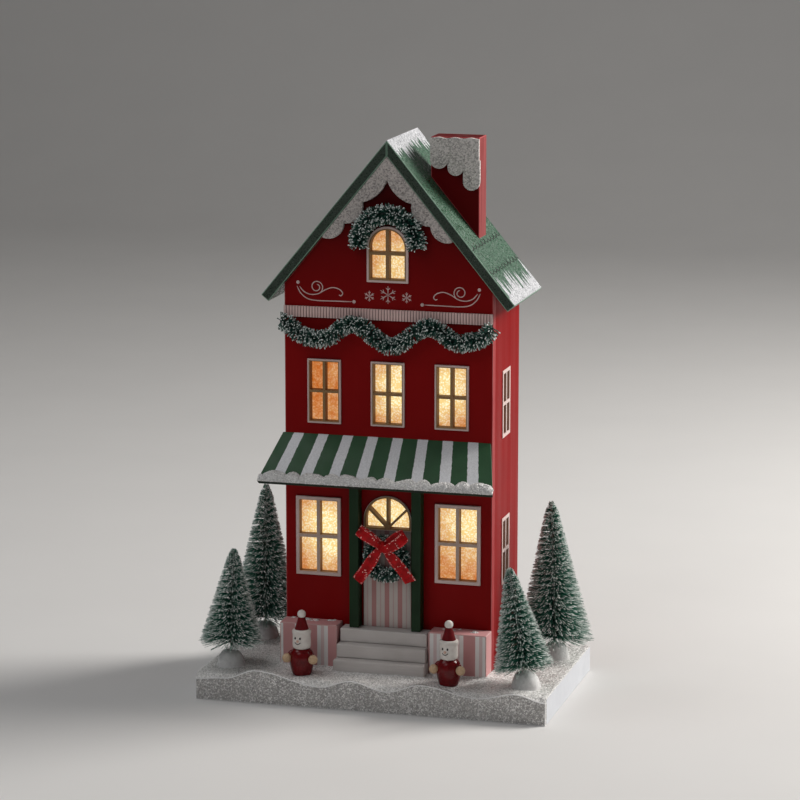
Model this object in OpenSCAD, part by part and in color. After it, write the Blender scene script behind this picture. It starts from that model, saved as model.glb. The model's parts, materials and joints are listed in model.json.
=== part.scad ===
// Light-up wooden Christmas house on a snowy base board, with bottle-brush trees,
// tinsel garlands, two peg figures and a battery light string inside.
// Millimetres, +X right, +Y to the back, +Z up; the origin is under the middle of the base.

/* [Base] */
// Board left and right of the house
yard_side = 44; // [40:1:60]
// Board in front of the house, the snow skirt included
yard_front = 45.3; // [45:0.1:70]
// Board behind the house
yard_back = 13; // [8:1:30]
// Thickness of the base board
base_t = 16; // [12:1:24]
// Thickness of the snow skirt on the front edge
skirt_t = 3.5; // [2:0.5:6]

/* [House shell] */
// Width of the front panel
house_w = 130; // [120:1:160]
// Depth from the front face to the back face
house_d = 67; // [60:1:90]
// Thickness of the front panel
front_t = 5; // [3:0.5:8]
// Thickness of the side walls
wall_t = 5; // [3:0.5:8]
// Thickness of the back panel
back_t = 4; // [3:0.5:6]

/* [Roof] */
// Slope of the roof in degrees
roof_pitch = 50.6; // [46:0.2:54]
// Thickness of the roof boards
roof_t = 6; // [4:0.5:8]
// Reach of the eaves past the side walls
eave_out = 13.8; // [10:0.2:20]
// Reach of the roof in front of the front panel
roof_front = 3; // [2.5:0.5:8]
// Reach of the roof behind the back panel
roof_back = 1; // [0:0.5:6]

/* [Lower windows] */
// Width of a lower window frame
lower_w = 28.4; // [24:0.2:30]
// Height of a lower window frame
lower_h = 49; // [40:0.5:56]
// Height of the lower sill above the board
lower_sill = 55.3; // [48:0.1:64]
// Wall between a lower frame and the house corner
lower_in = 7; // [5:0.5:9]

/* [Upper windows] */
// Width of an upper window frame
upper_w = 21; // [17:0.5:24]
// Height of an upper window frame
upper_h = 39.5; // [32:0.5:46]
// Height of the upper sill above the awning's top edge
upper_rise = 6.8; // [4:0.1:14]
// Wall between an outer upper frame and the house corner
upper_in = 14.7; // [10:0.1:17]

/* [Gable window] */
// Width of the arched frame
gable_w = 25.7; // [22:0.1:28]
// Height of the arched frame
gable_h = 34; // [30:0.5:36]
// Height of the gable sill above the wall's top
gable_rise = 3; // [1:0.5:6]
// Height of the cross bar's middle above the gable sill
gable_bar = 17.6; // [12:0.2:20]

/* [Side windows] */
// Width of a side window frame
side_w = 19; // [15:0.5:24]
// Height of a side window frame
side_h = 41.5; // [34:0.5:46]
// Side windows sit this far before the wall's middle
side_ahead = 0.4; // [0:0.1:6]
// Lower side sill below the lower front sill
side_low_drop = 5.3; // [0:0.1:12]
// Upper side sill below the upper front sill
side_up_drop = 8.7; // [0:0.1:14]

/* [Window joinery] */
// Thickness of a front window frame before the wall
frame_t = 1.6; // [1:0.1:2.4]
// Thickness of a side window frame before the wall
side_frame_t = 0.5; // [0.4:0.1:2.4]
// Width of a frame's border
frame_w = 2.2; // [1.6:0.1:3]
// Width of the glazing bars
bar_w = 2; // [1.2:0.1:3]
// Width of the border and bars of the upper windows
upper_bar_w = 1.6; // [1.2:0.1:3]
// Width of the border and bars of the fanlight
fan_bar_w = 1.4; // [1.2:0.1:3]
// Overlap of a frame on the wall round its opening
frame_lap = 0.6; // [0.4:0.1:0.8]
// Depth of a frame's tongue in the opening
frame_in = 3.8; // [1:0.1:4.4]
// Thickness of the glitter film behind the openings
film_t = 0.5; // [0.3:0.1:1]
// Film past the openings
film_margin = 5; // [2:0.5:6]

/* [Door] */
// Width of the door panel
door_w = 30; // [24:0.5:34]
// Height of the door panel above the top step
door_h = 60.5; // [50:0.5:62]
// Height of the fanlight frame above the door
fan_h = 21.3; // [18:0.1:23]
// Thickness of the door panel
door_t = 2; // [1:0.2:4]
// Width of a door post
post_w = 6; // [4:0.5:8]
// Depth of a door post
post_d = 8; // [5:0.5:10]
// Gap between the door and each post
post_gap = 1.5; // [0.5:0.1:3]

/* [Steps and plinths] */
// Rise of one step
step_rise = 8.5; // [6:0.5:9]
// Depth of one tread
step_tread = 5.9; // [4:0.1:6]
// Depth of the top step
step_top = 11; // [10.5:0.1:11.5]
// Width of the top step
step_w = 55; // [52:0.5:56]
// Each lower step is wider by this on both sides
step_grow = 0.6; // [0:0.1:1]
// Depth of the striped plinths
plinth_d = 13.5; // [9:0.5:14]
// Height of the striped plinths
plinth_h = 27.5; // [20:0.5:34]

/* [Awning] */
// Height of the awning's top edge above the lower windows
awning_rise = 39.1; // [36:0.1:50]
// Reach of the awning in front of the wall
awning_out = 28; // [22:0.5:34]
// Drop of the awning over that reach
awning_drop = 25; // [18:0.5:28]
// Thickness of the awning board
awning_t = 3; // [2:0.5:4]
// Awning's lower edge is wider by this on both sides
awning_flare = 8.2; // [0:0.1:12]
// Awning's middle from the middle of the house
awning_x = -1.2; // [-2:0.1:2]
// Width of the snow lip up the slope
lip_w = 6.4; // [4:0.2:9]
// Thickness of the snow lip
lip_t = 2.8; // [1.5:0.1:5]

/* [Cornice and gable trim] */
// Wall between the upper windows and the cornice, where the swag hangs
swag_zone = 25.4; // [22:0.2:34]
// Height of the fluted cornice
cornice_h = 6.5; // [5:0.5:9]
// Thickness of the fluted cornice
cornice_t = 2; // [1.4:0.1:4]
// Depth of the flutes
flute_d = 0.6; // [0.3:0.1:0.9]
// Width of one flute
flute_w = 1.8; // [1.4:0.1:3]
// Wall between the cornice and the foot of the roof
eave_gap = 13.4; // [10:0.2:20]
// Thickness of the gable's snow trim
trim_t = 2.5; // [1.5:0.1:4]

/* [Chimney] */
// Width of the chimney
chimney_w = 30; // [28:0.5:32]
// Depth of the chimney
chimney_d = 17; // [12:0.5:24]
// Chimney's middle, right of the ridge
chimney_x = 35; // [30:0.2:38]
// Chimney's front, behind the roof's front edge
chimney_in = 27.5; // [20:0.5:36]
// Chimney's top below the ridge
chimney_drop = 0; // [0:0.1:6]
// Thickness of the snow on the chimney's front
drip_t = 2.4; // [1.5:0.1:4]

/* [Garlands and wreath] */
// Reach of the garlands' tinsel from the wire
tinsel_r = 5.6; // [4.5:0.1:5.8]
// Radius of the garlands' dense core
tinsel_core = 2.2; // [1.5:0.1:2.8]
// Length of one wave of the swag
swag_wave = 47.2; // [40:0.2:60]
// Height of the swag's waves
swag_dip = 12.4; // [8:0.2:14]
// Radius of the arched garland's middle line
arch_r = 18.5; // [18:0.1:19]
// Radius of the wreath's middle line
wreath_r = 10.3; // [8:0.1:12]
// Reach of the wreath's tinsel from the wire
wreath_tinsel = 4; // [3:0.1:4]
// Height of the wreath's middle above the door's foot
wreath_z = 44; // [38:0.5:46]

/* [Ribbon bow] */
// Width of the ribbon
ribbon_w = 6; // [4:0.5:7]
// Thickness of the ribbon
ribbon_t = 0.8; // [0.6:0.1:1.2]
// Length of a loop from the knot
loop_l = 17.5; // [12:0.5:20]
// Depth of a loop from front to back
loop_d = 4.4; // [3.5:0.1:6]
// Length of a tail from the knot
tail_l = 25.5; // [18:0.5:28]
// Bow's knot above the wreath's middle
bow_rise = 7.5; // [4:0.5:8]

/* [Trees] */
// Height of a front tree's tip above the board
small_h = 74; // [60:1:90]
// Reach of the front left tree's lowest bristles
small_left_r = 20.5; // [14:0.5:22]
// Reach of the front right tree's lowest bristles
small_right_r = 17.5; // [14:0.5:22]
// Height of a back tree's tip above the board
big_h = 99.5; // [80:1:120]
// Reach of a back tree's lowest bristles
big_r = 22; // [16:0.5:23]
// Radius of a tree's snow mound
mound_r = 9; // [8:0.5:12]
// Straight skirt of the mound under its round top
mound_skirt = 1; // [0.5:0.5:4]
// Radius of the trees' twisted wire
stem_r = 0.8; // [0.6:0.1:1.2]
// Trunks in from the board's sides
tree_in = 15; // [13:0.5:18]
// Front trunks behind the board's front
tree_front = 23.5; // [18:0.5:26]
// Back trunks in front of the board's back
tree_back = 33; // [26:0.5:40]

/* [Peg figures] */
// Figures' middle, out from the house's middle
figure_x = 46; // [40:0.5:52]
// Figures in front of the plinths
figure_gap = 9.5; // [0.5:0.1:9.8]
// Widest radius of a body
body_r = 7; // [5.5:0.1:7.2]
// Height of a body
body_h = 15; // [11:0.5:18]
// Radius of a head
head_r = 5.8; // [4.6:0.1:6]
// Height of a head
head_h = 12; // [9:0.5:14]
// Height of a cap
cap_h = 9.3; // [7:0.1:12]
// Radius of a cap's foot
cap_r = 4.7; // [4:0.1:5]
// Radius of a cap's top
cap_top_r = 2.1; // [1.6:0.1:2.4]
// Radius of a pompom
pompom_r = 2.6; // [2.5:0.1:3.4]
// Radius of an arm
arm_r = 2.1; // [1.6:0.1:2.4]
// Radius of a wooden hand
hand_r = 2.9; // [2.4:0.1:3.1]

/* [Battery case] */
// Diameter of a cell
cell_d = 14.5; // [14:0.1:15]
// Length of a cell
cell_l = 50.5; // [48:0.5:52]
// Wall of the case
case_wall = 1.6; // [1.2:0.1:2.4]
// Thickness of the flange behind the back panel
flange_t = 4; // [4:0.1:5]
// Flange past the case at the sides, where the screws sit
flange_side = 7; // [6:0.5:10]
// Flange past the case at the top and bottom
flange_edge = 5; // [4.5:0.5:8]
// Case's foot above the board
case_rise = 14; // [10:0.5:24]
// Thickness of the cover
cover_t = 2; // [1.6:0.1:2.4]
// Gap round the cover
cover_gap = 0.4; // [0.3:0.1:0.6]
// Radius of the cover's hinge pins
pin_r = 1; // [0.8:0.05:1.2]
// Radius of the cover's knuckle
knuckle_r = 1.7; // [1.5:0.05:1.8]
// Radial play of the hinge pins
pin_play = 0.08; // [0.05:0.01:0.1]
// Travel of the power switch
switch_travel = 4; // [3:0.5:5]
// Radius of a case screw's shank
screw_r = 1.2; // [1:0.1:1.5]

/* [Light string] */
// Radius of the light string's wire
wire_r = 0.8; // [0.6:0.1:1]
// Radius of a bulb
bulb_r = 2.2; // [1.5:0.1:2.6]

/* [Hidden] */
$fn = 64;

// Colours
snow_white = [0.86, 0.86, 0.87];
wall_red = [0.45, 0.03, 0.05];
leaf_green = [0.07, 0.24, 0.13];
roof_green = [0.10, 0.30, 0.18];
frame_pink = [0.85, 0.74, 0.70];
stripe_pink = [0.80, 0.58, 0.57];
film_amber = [1.0, 0.72, 0.35];
case_black = [0.08, 0.08, 0.09];
metal_grey = [0.70, 0.70, 0.72];

// Gap that stands for a glue line or an easy push fit
ease = 0.1;
// Gap between a soft piece and what it lies on
soft_gap = 0.25;
// Overshoot of a cutter past the face it cuts
past = 1;

// Frame of the base and the house
base_w = house_w + 2 * yard_side;
base_d = yard_front + house_d + yard_back;
base_y0 = -base_d / 2;
base_y1 = base_d / 2;
front_y = base_y0 + yard_front;
back_y = front_y + house_d;
half_w = house_w / 2;

// Heights, stacked from the board up
lower_z = base_t + lower_sill;
awning_z = lower_z + lower_h + awning_rise;
upper_z = awning_z + upper_rise;
cornice_z = upper_z + upper_h + swag_zone;
wall_z = cornice_z + cornice_h + eave_gap;
gable_z = wall_z + gable_rise;
step_n = 3;
porch_z = base_t + step_n * step_rise;
fan_z = porch_z + door_h;

// Roof lines in the front view
roof_tan = tan(roof_pitch);
peak_z = wall_z + half_w * roof_tan;
ridge_z = peak_z + roof_t / cos(roof_pitch);
eave_x = half_w + eave_out;
eave_z = ridge_z - eave_x * roof_tan;
roof_y0 = front_y - roof_front;
roof_d = roof_front + house_d + roof_back;

// Window places
upper_x = half_w - upper_in - upper_w / 2;
lower_x = half_w - lower_in - lower_w / 2;
side_y = (front_y + back_y) / 2 - side_ahead;
side_low_z = lower_z - side_low_drop;
side_up_z = upper_z - side_up_drop;
film_y = front_y + front_t;

// Awning slope
awning_a = atan(awning_drop / awning_out);
awning_top_half = half_w + ease;
awning_low_half = awning_top_half + awning_flare;
// Height of the awning's underside where it is this far in front of the wall
function awning_under(out) = awning_z - out * tan(awning_a) - awning_t / cos(awning_a);

// Height of the roof's underside at a distance from the middle
function under_z(x) = peak_z - abs(x) * roof_tan;
// Height of the roof's top face at a distance from the ridge
function roof_top_z(x) = ridge_z - abs(x) * roof_tan;

// Points of an arc from a to b that bulges to the right of that direction by sag
function arc_points(a, b, sag, n) =
    let (chord = norm(b - a),
         radius = (chord * chord / 4 + sag * sag) / (2 * sag),
         along = (b - a) / chord,
         right = [along[1], -along[0]],
         mid = (a + b) / 2 - right * (radius - sag),
         half = asin(chord / 2 / radius))
    [for (k = [0:n - 1]) let (t = -half + 2 * half * k / n)
        mid + radius * (right * cos(t) + along * sin(t))];

// Height of a wavy line through crests and dips, eased by a half cosine between them
function wave_z(x, xs, zs) =
    let (i = max([for (k = [0:len(xs) - 2]) if (x >= xs[k] || k == 0) k]),
         t = (x - xs[i]) / (xs[i + 1] - xs[i]))
    zs[i] + (zs[i + 1] - zs[i]) * (1 - cos(180 * t)) / 2;

// Extrudes an outline in the front view from y0 by a depth
module from_front(y0, depth) {
    translate([0, y0 + depth, 0]) rotate([90, 0, 0]) linear_extrude(depth) children();
}

// Extrudes an outline in the side view across a width, about the middle
module across(width) {
    translate([-width / 2, 0, 0]) rotate([90, 0, 90]) linear_extrude(width) children();
}

// Block given by its two corners
module block(low, high) {
    translate(low) cube(high - low);
}

// Cylinder along X from a point
module rod_x(at, length, radius) {
    translate(at) rotate([0, 90, 0]) cylinder(h = length, r = radius);
}

// Cylinder along Y from a point
module rod_y(at, length, radius) {
    translate(at) rotate([-90, 0, 0]) cylinder(h = length, r = radius);
}

// Arched outline standing on the line y = 0
module arch(width, height) {
    intersection() {
        union() {
            translate([0, height - width / 2]) circle(d = width);
            translate([-width / 2, 0]) square([width, height - width / 2]);
        }
        translate([-width / 2, 0]) square([width, height]);
    }
}

// Four-pane rectangular frame, standing on the line y = 0
module pane_frame(width, height, border, bar) {
    pane = [(width - 2 * border - bar) / 2, (height - 2 * border - bar) / 2];
    difference() {
        translate([-width / 2, 0]) square([width, height]);
        for (sx = [-1, 1]) for (row = [0, 1])
            translate([sx * (bar + pane[0]) / 2 - pane[0] / 2, border + row * (pane[1] + bar)])
                square(pane);
    }
}

// Arched frame with an upright and one cross bar
module arch_frame(width, height, border, bar, bar_at) {
    difference() {
        arch(width, height);
        difference() {
            translate([0, border]) arch(width - 2 * border, height - 2 * border);
            translate([-bar / 2, 0]) square([bar, height]);
            translate([-width / 2, bar_at - bar / 2]) square([width, bar]);
        }
    }
}

// Fanlight frame with an upright and two slanted bars
module fan_frame(width, height, border, bar) {
    difference() {
        arch(width, height);
        difference() {
            translate([0, border]) arch(width - 2 * border, height - 2 * border);
            for (a = [-45, 0, 45])
                translate([0, border]) rotate(a) translate([-bar / 2, -bar]) square([bar, height + bar]);
        }
    }
}

// Bristled tube: rings of [centre, side, up, core radius], with strands on every second cell
// from first_row on. Strands towards the wall stop short of the seat, a distance behind the centre.
no_seat = 1000;
function ring_point(ring, j, n) =
    ring[0] + ring[3] * (cos(360 * j / n) * ring[1] + sin(360 * j / n) * ring[2]);
function strand_tip(low, high, j, n, reach, seat, lean) =
    let (way = cos(360 * (j + 0.5) / n) * low[1] + sin(360 * (j + 0.5) / n) * low[2],
         far = way[1] > 0.01 ? min(reach, seat / way[1]) : reach)
    (low[0] + high[0]) / 2 + far * way + lean * far;

module bristled(rings, reaches, n, first_row = 0, seat = no_seat, lean = [0, 0, 0], closed = false) {
    count = len(rings);
    rows = closed ? count : count - 1;
    corners = [for (ring = rings) for (j = [0:n - 1]) ring_point(ring, j, n)];
    tips = [for (i = [0:rows - 1]) if (i >= first_row) for (m = [0:n / 2 - 1])
        strand_tip(rings[i], rings[(i + 1) % count], 2 * m + i % 2, n, reaches[i], seat, lean)];
    walls = [for (i = [0:rows - 1]) for (j = [0:n - 1])
        let (k = (j + 1) % n,
             next = (i + 1) % count,
             a = i * n + j, b = i * n + k, c = next * n + k, d = next * n + j,
             tip = len(corners) + (i - first_row) * n / 2 + (j - j % 2) / 2)
        each (i >= first_row && j % 2 == i % 2
            ? [[b, a, tip], [c, b, tip], [d, c, tip], [a, d, tip]]
            : [[a, c, b], [a, d, c]])];
    last = (count - 1) * n;
    caps = closed ? [] : [for (k = [1:n - 2]) each [[0, k, k + 1], [last, last + k + 1, last + k]]];
    polyhedron(points = concat(corners, tips), faces = concat(walls, caps));
}

// Base

// Crests and dips of the skirt's top, as shares of the half width and heights about the board
skirt_at = [-1, -0.83, -0.65, -0.28, -0.1, 0.1, 0.295, 0.62, 0.83, 1];
skirt_up = [-2.6, -1.3, 4.8, -2.4, 2.6, -2.3, 3.4, -2.0, 2.2, -2.0];
skirt_steps = 64;

module base_board() {
    color(snow_white)
        block([-base_w / 2, base_y0 + skirt_t, 0], [base_w / 2, base_y1, base_t]);
}

module snow_skirt() {
    color(snow_white) from_front(base_y0, skirt_t)
        polygon(concat([[base_w / 2, 0], [-base_w / 2, 0]],
            [for (k = [0:skirt_steps]) let (s = -1 + 2 * k / skirt_steps)
                [s * base_w / 2, base_t + wave_z(s, skirt_at, skirt_up)]]));
}

// House shell

// Front view outline of the house up to the roof's underside
module house_outline(half) {
    polygon([[-half, base_t], [half, base_t], [half, under_z(half)], [0, peak_z], [-half, under_z(half)]]);
}

// Opening behind a frame that stands with the middle of its foot at a place
module opening(at, width, height) {
    translate(at + [frame_lap - width / 2, frame_lap])
        square([width - 2 * frame_lap, height - 2 * frame_lap]);
}

// The same for an arched frame
module arched_opening(at, width, height) {
    translate(at + [0, frame_lap]) arch(width - 2 * frame_lap, height - 2 * frame_lap);
}

// A frame from its front at y0: its plate lies on the wall and its tongue in the opening behind.
// The first child is the frame's outline, the second the opening's.
module let_in(y0, thick = frame_t) {
    from_front(y0, thick) children(0);
    from_front(y0 + thick / 2, thick / 2 + frame_in) intersection() {
        children(0);
        offset(delta = -ease) children(1);
    }
}

module front_panel() {
    color(wall_red) from_front(front_y, front_t) difference() {
        house_outline(half_w);
        for (x = [-upper_x, 0, upper_x]) opening([x, upper_z], upper_w, upper_h);
        for (x = [-lower_x, lower_x]) opening([x, lower_z], lower_w, lower_h);
        arched_opening([0, gable_z], gable_w, gable_h);
        arched_opening([0, fan_z], door_w, fan_h);
    }
}

// A side wall, at the right for side 1 and at the left for side -1
module side_wall(side) {
    inner = half_w - wall_t;
    cut = 2 * frame_lap;
    color(wall_red) difference() {
        from_front(film_y, house_d - front_t)
            polygon([[side * inner, base_t], [side * half_w, base_t],
                [side * half_w, under_z(half_w)], [side * inner, under_z(inner)]]);
        for (z = [side_low_z, side_up_z])
            translate([side * (half_w - wall_t / 2), side_y, z + side_h / 2])
                cube([wall_t + 2 * past, side_w - cut, side_h - cut], center = true);
    }
}

module left_wall() { side_wall(-1); }
module right_wall() { side_wall(1); }

module back_panel() {
    color(wall_red) difference() {
        from_front(back_y - back_t, back_t) house_outline(half_w - wall_t);
        block([case_x0 - ease, back_y - back_t - past, case_z0 - ease],
            [case_x1 + ease, back_y + past, case_z1 + ease]);
        for (at = screw_places)
            rod_y([at[0], back_y - back_t - past, at[1]], back_t + 2 * past, screw_r + ease / 2);
    }
}

// Roof

// A roof board, at the right for side 1 and at the left for side -1
module roof_board(side) {
    color(roof_green) from_front(roof_y0, roof_d)
        polygon([[0, ridge_z], [side * eave_x, eave_z],
            [side * (eave_x - roof_t * sin(roof_pitch)), eave_z - roof_t * cos(roof_pitch)], [0, peak_z]]);
}

module roof_left() { roof_board(-1); }
module roof_right() { roof_board(1); }

// Cusps of the gable trim from the peak down: shares of the half width, and drops below the roof
trim_at = [0, 0.230, 0.409, 0.62];
trim_low = [14.5, 10.0, 9.0, 1.2];
trim_sag = [2.6, 4.3, 4.1];
trim_steps = 8;
function trim_cusp(k, side) =
    [side * trim_at[k] * half_w, under_z(trim_at[k] * half_w) - trim_low[k]];

// Where the trim's blunt end meets the roof
function trim_end(side) = [side * trim_at[3] * half_w, under_z(trim_at[3] * half_w)];

// One lobe of the trim, between two cusps
function trim_lobe(a, b, sag) = arc_points(a, b, sag, trim_steps);

module gable_snow_trim() {
    color(snow_white) from_front(front_y - trim_t, trim_t)
        polygon(concat([[0, peak_z]],
            [trim_end(-1)],
            [for (k = [2:-1:0]) each trim_lobe(trim_cusp(k + 1, -1), trim_cusp(k, -1), trim_sag[k])],
            [for (k = [0:2]) each trim_lobe(trim_cusp(k, 1), trim_cusp(k + 1, 1), trim_sag[k])],
            [trim_cusp(3, 1), trim_end(1)]));
}

module cornice_strip() {
    flutes = floor(house_w / flute_w);
    pitch = house_w / flutes;
    color(stripe_pink) translate([0, 0, cornice_z]) linear_extrude(cornice_h)
        polygon(concat([[half_w, front_y], [-half_w, front_y]],
            [for (k = [0:flutes - 1]) let (x = -half_w + k * pitch) each
                [[x, front_y - cornice_t + flute_d], [x + pitch * 0.3, front_y - cornice_t],
                 [x + pitch * 0.7, front_y - cornice_t]]],
            [[half_w, front_y - cornice_t + flute_d]]));
}

// Chimney

chimney_y0 = roof_y0 + chimney_in;
chimney_z1 = ridge_z - chimney_drop;
chimney_x0 = chimney_x - chimney_w / 2;
chimney_x1 = chimney_x + chimney_w / 2;

module chimney() {
    color(wall_red) from_front(chimney_y0, chimney_d)
        polygon([[chimney_x0, chimney_z1], [chimney_x0, roof_top_z(chimney_x0)],
            [chimney_x1, roof_top_z(chimney_x1)], [chimney_x1, chimney_z1]]);
}

// Drips of the chimney's snow: middle and radius as shares of its width, and drop below its top
drip_at = [0.18, 0.52, 0.85];
drip_r = [0.18, 0.16, 0.17];
drip_low = [19, 23, 31.5];
// Waves of the snow's top edge
snow_humps = 3;
snow_hump = 0.8;
snow_top_steps = 24;

module chimney_snow() {
    shoulder = drip_low[0] - drip_r[0] * chimney_w;
    color(snow_white) from_front(chimney_y0 - drip_t, drip_t) union() {
        polygon(concat([[chimney_x1, chimney_z1 - shoulder], [chimney_x0, chimney_z1 - shoulder]],
            [for (k = [0:snow_top_steps])
                let (s = k / snow_top_steps, dip = snow_hump * (1 + cos(360 * snow_humps * s)) / 2)
                [chimney_x0 + s * chimney_w, chimney_z1 - dip]]));
        for (k = [0:2]) let (x = chimney_x0 + drip_at[k] * chimney_w,
                             r = drip_r[k] * chimney_w,
                             low = chimney_z1 - drip_low[k] + r) {
            translate([x, low]) circle(r);
            translate([x - r, low]) square([2 * r, chimney_z1 - shoulder - low + ease]);
        }
    }
}

// Awning

module awning_plan() {
    linear_extrude(2 * awning_z)
        polygon([[-awning_top_half, front_y], [awning_top_half, front_y],
            [awning_low_half, front_y - awning_out], [-awning_low_half, front_y - awning_out]]);
}

module awning() {
    edge = [front_y - awning_out, awning_z - awning_drop];
    color(leaf_green) translate([awning_x, 0, 0]) intersection() {
        across(2 * awning_low_half) polygon([[front_y, awning_z], edge,
            edge + awning_t * [sin(awning_a), -cos(awning_a)], [front_y, awning_under(0)]]);
        awning_plan();
    }
}

// Lumps of snow along the awning's lower edge, with radii that vary along a sine
lump_step = 8.4;
module awning_snow() {
    lumps = floor(2 * awning_low_half / lump_step);
    step = 2 * awning_low_half / lumps;
    top = 2 * lip_w;
    top_half = awning_low_half - top * awning_flare * cos(awning_a) / awning_out;
    edge = [awning_x, front_y - awning_out, awning_z - awning_drop];
    color(snow_white) translate(edge) rotate([awning_a, 0, 0])
        linear_extrude(lip_t) intersection() {
            union() {
                translate([-awning_low_half, 0]) square([2 * awning_low_half, lip_w * 0.6]);
                for (k = [0:lumps - 1])
                    translate([-awning_low_half + (k + 0.5) * step, lip_w * 0.3])
                        circle(lip_w * (0.6 + 0.1 * sin(137 * k)));
            }
            polygon([[-awning_low_half, 0], [awning_low_half, 0], [top_half, top], [-top_half, top]]);
        }
}

// Door, steps and plinths

// A door post under the awning, at the right for side 1 and at the left for side -1
module door_post(side) {
    color(leaf_green) translate([side * (door_w / 2 + post_gap + post_w / 2), 0, 0]) across(post_w)
        polygon([[front_y, porch_z], [front_y, awning_under(0)],
            [front_y - post_d, awning_under(post_d)], [front_y - post_d, porch_z]]);
}

module door_post_left() { door_post(-1); }
module door_post_right() { door_post(1); }

module door_panel() {
    color(frame_pink) block([-door_w / 2, front_y - door_t, porch_z], [door_w / 2, front_y, fan_z]);
}

module fanlight_frame() {
    color(frame_pink) let_in(front_y - frame_t) {
        translate([0, fan_z]) fan_frame(door_w, fan_h, fan_bar_w, fan_bar_w);
        arched_opening([0, fan_z], door_w, fan_h);
    }
}

// One step board, counted from the top
module step_board(k) {
    half = step_w / 2 + k * step_grow;
    top = porch_z - k * step_rise;
    color(snow_white)
        block([-half, front_y - step_top - k * step_tread, top - step_rise], [half, front_y, top]);
}

module step_upper() { step_board(0); }
module step_middle() { step_board(1); }
module step_lower() { step_board(2); }

plinth_x = step_w / 2 + (step_n - 1) * step_grow + ease;
plinth_y = front_y - plinth_d;

module plinth_left() {
    color(stripe_pink) block([-half_w, plinth_y, base_t], [-plinth_x, front_y, base_t + plinth_h]);
}

module plinth_right() {
    color(stripe_pink) block([plinth_x, plinth_y, base_t], [half_w, front_y, base_t + plinth_h]);
}

// Window frames and films

module gable_window_frame() {
    color(frame_pink) let_in(front_y - frame_t) {
        translate([0, gable_z]) arch_frame(gable_w, gable_h, frame_w, bar_w, gable_bar);
        arched_opening([0, gable_z], gable_w, gable_h);
    }
}

module upper_window_frames() {
    color(frame_pink) for (x = [-upper_x, 0, upper_x]) let_in(front_y - frame_t) {
        translate([x, upper_z]) pane_frame(upper_w, upper_h, upper_bar_w, upper_bar_w);
        opening([x, upper_z], upper_w, upper_h);
    }
}

module lower_window_frames() {
    color(frame_pink) for (x = [-lower_x, lower_x]) let_in(front_y - frame_t) {
        translate([x, lower_z]) pane_frame(lower_w, lower_h, frame_w, bar_w);
        opening([x, lower_z], lower_w, lower_h);
    }
}

module side_window_frames() {
    color(snow_white) for (side = [-1, 1]) for (z = [side_low_z, side_up_z])
        translate([0, side_y, 0]) rotate([0, 0, side * 90]) let_in(-half_w - side_frame_t, side_frame_t) {
            translate([0, z]) pane_frame(side_w, side_h, frame_w, bar_w);
            opening([0, z], side_w, side_h);
        }
}

// The film lines the front panel and follows the gable up past the arched window
module front_window_film() {
    half = lower_x + lower_w / 2 + film_margin - frame_lap;
    gable_half = gable_w / 2 + film_margin;
    gable_top = gable_z + gable_h + film_margin;
    shoulder = min(wall_z, under_z(half) - film_margin);
    color(film_amber) from_front(film_y, film_t) intersection() {
        polygon([[-half, lower_z - film_margin], [half, lower_z - film_margin], [half, shoulder],
            [gable_half, gable_top], [-gable_half, gable_top], [-half, shoulder]]);
        translate([0, -film_margin]) house_outline(half_w - wall_t - ease);
    }
}

module side_window_films() {
    half = side_w / 2 + film_margin;
    color(film_amber) for (x = [-half_w + wall_t, half_w - wall_t - film_t])
        block([x, side_y - half, side_low_z - film_margin],
            [x + film_t, side_y + half, side_up_z + side_h + film_margin]);
}

// Garlands, wreath and bow

// Rings of a tinsel tube across the front, from points, tangents and the core's radius
function tinsel_rings(points, tangents, core) =
    [for (k = [0:len(points) - 1]) [points[k], [0, 1, 0], cross(tangents[k], [0, 1, 0]), core]];

swag_rows = 24;
swag_sides = 6;
// Tinsel between a garland's core and the wall
tinsel_flat = 1.7;
swag_seat = tinsel_core + tinsel_flat;
swag_y = front_y - cornice_t - soft_gap - swag_seat;
// Swag's middle line below the cornice
swag_drop = 8.1;
swag_mid = cornice_z - swag_drop;
swag_half = half_w + ease;
swag_phase = 3.7;
// Share of their depth that the outer dips lose, and the rise of the right end
swag_fade = 0.9;
swag_rise = 3.4;
swag_step = 0.1;
// Depth of the wave below the middle line, in halves of its height: a cosine whose dips fade outwards
function swag_depth(x) =
    let (wave = cos(360 * (x - swag_phase) / swag_wave))
        wave - swag_fade * pow(x / swag_half, 2) * pow(max(wave, 0), 2);
function swag_point(x) =
    [x, swag_y, swag_mid - swag_dip / 2 * swag_depth(x) + swag_rise * pow(max(x / swag_half, 0), 6)];
function swag_way(x) = let (way = swag_point(x + swag_step) - swag_point(x - swag_step)) way / norm(way);

module swag_garland() {
    xs = [for (k = [0:swag_rows]) swag_half * (2 * k / swag_rows - 1)];
    color(leaf_green) bristled(
        tinsel_rings([for (x = xs) swag_point(x)], [for (x = xs) swag_way(x)], tinsel_core),
        [for (k = [1:swag_rows]) tinsel_r], swag_sides, 0, swag_seat);
}

arch_rows = 12;
arch_ends = 8;
// Middle of the arched garland below the arched window's top
arch_drop = 9.6;
arch_mid_z = gable_z + gable_h - arch_drop;
arch_seat = tinsel_core + tinsel_flat;
arch_y = front_y - soft_gap - arch_seat;

module arch_garland() {
    as = [for (k = [0:arch_rows]) 180 + arch_ends - (180 + 2 * arch_ends) * k / arch_rows];
    color(leaf_green) bristled(
        tinsel_rings([for (a = as) [arch_r * cos(a), arch_y, arch_mid_z + arch_r * sin(a)]],
            [for (a = as) [sin(a), 0, -cos(a)]], tinsel_core),
        [for (k = [1:arch_rows]) tinsel_r], swag_sides, 0, arch_seat);
}

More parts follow.
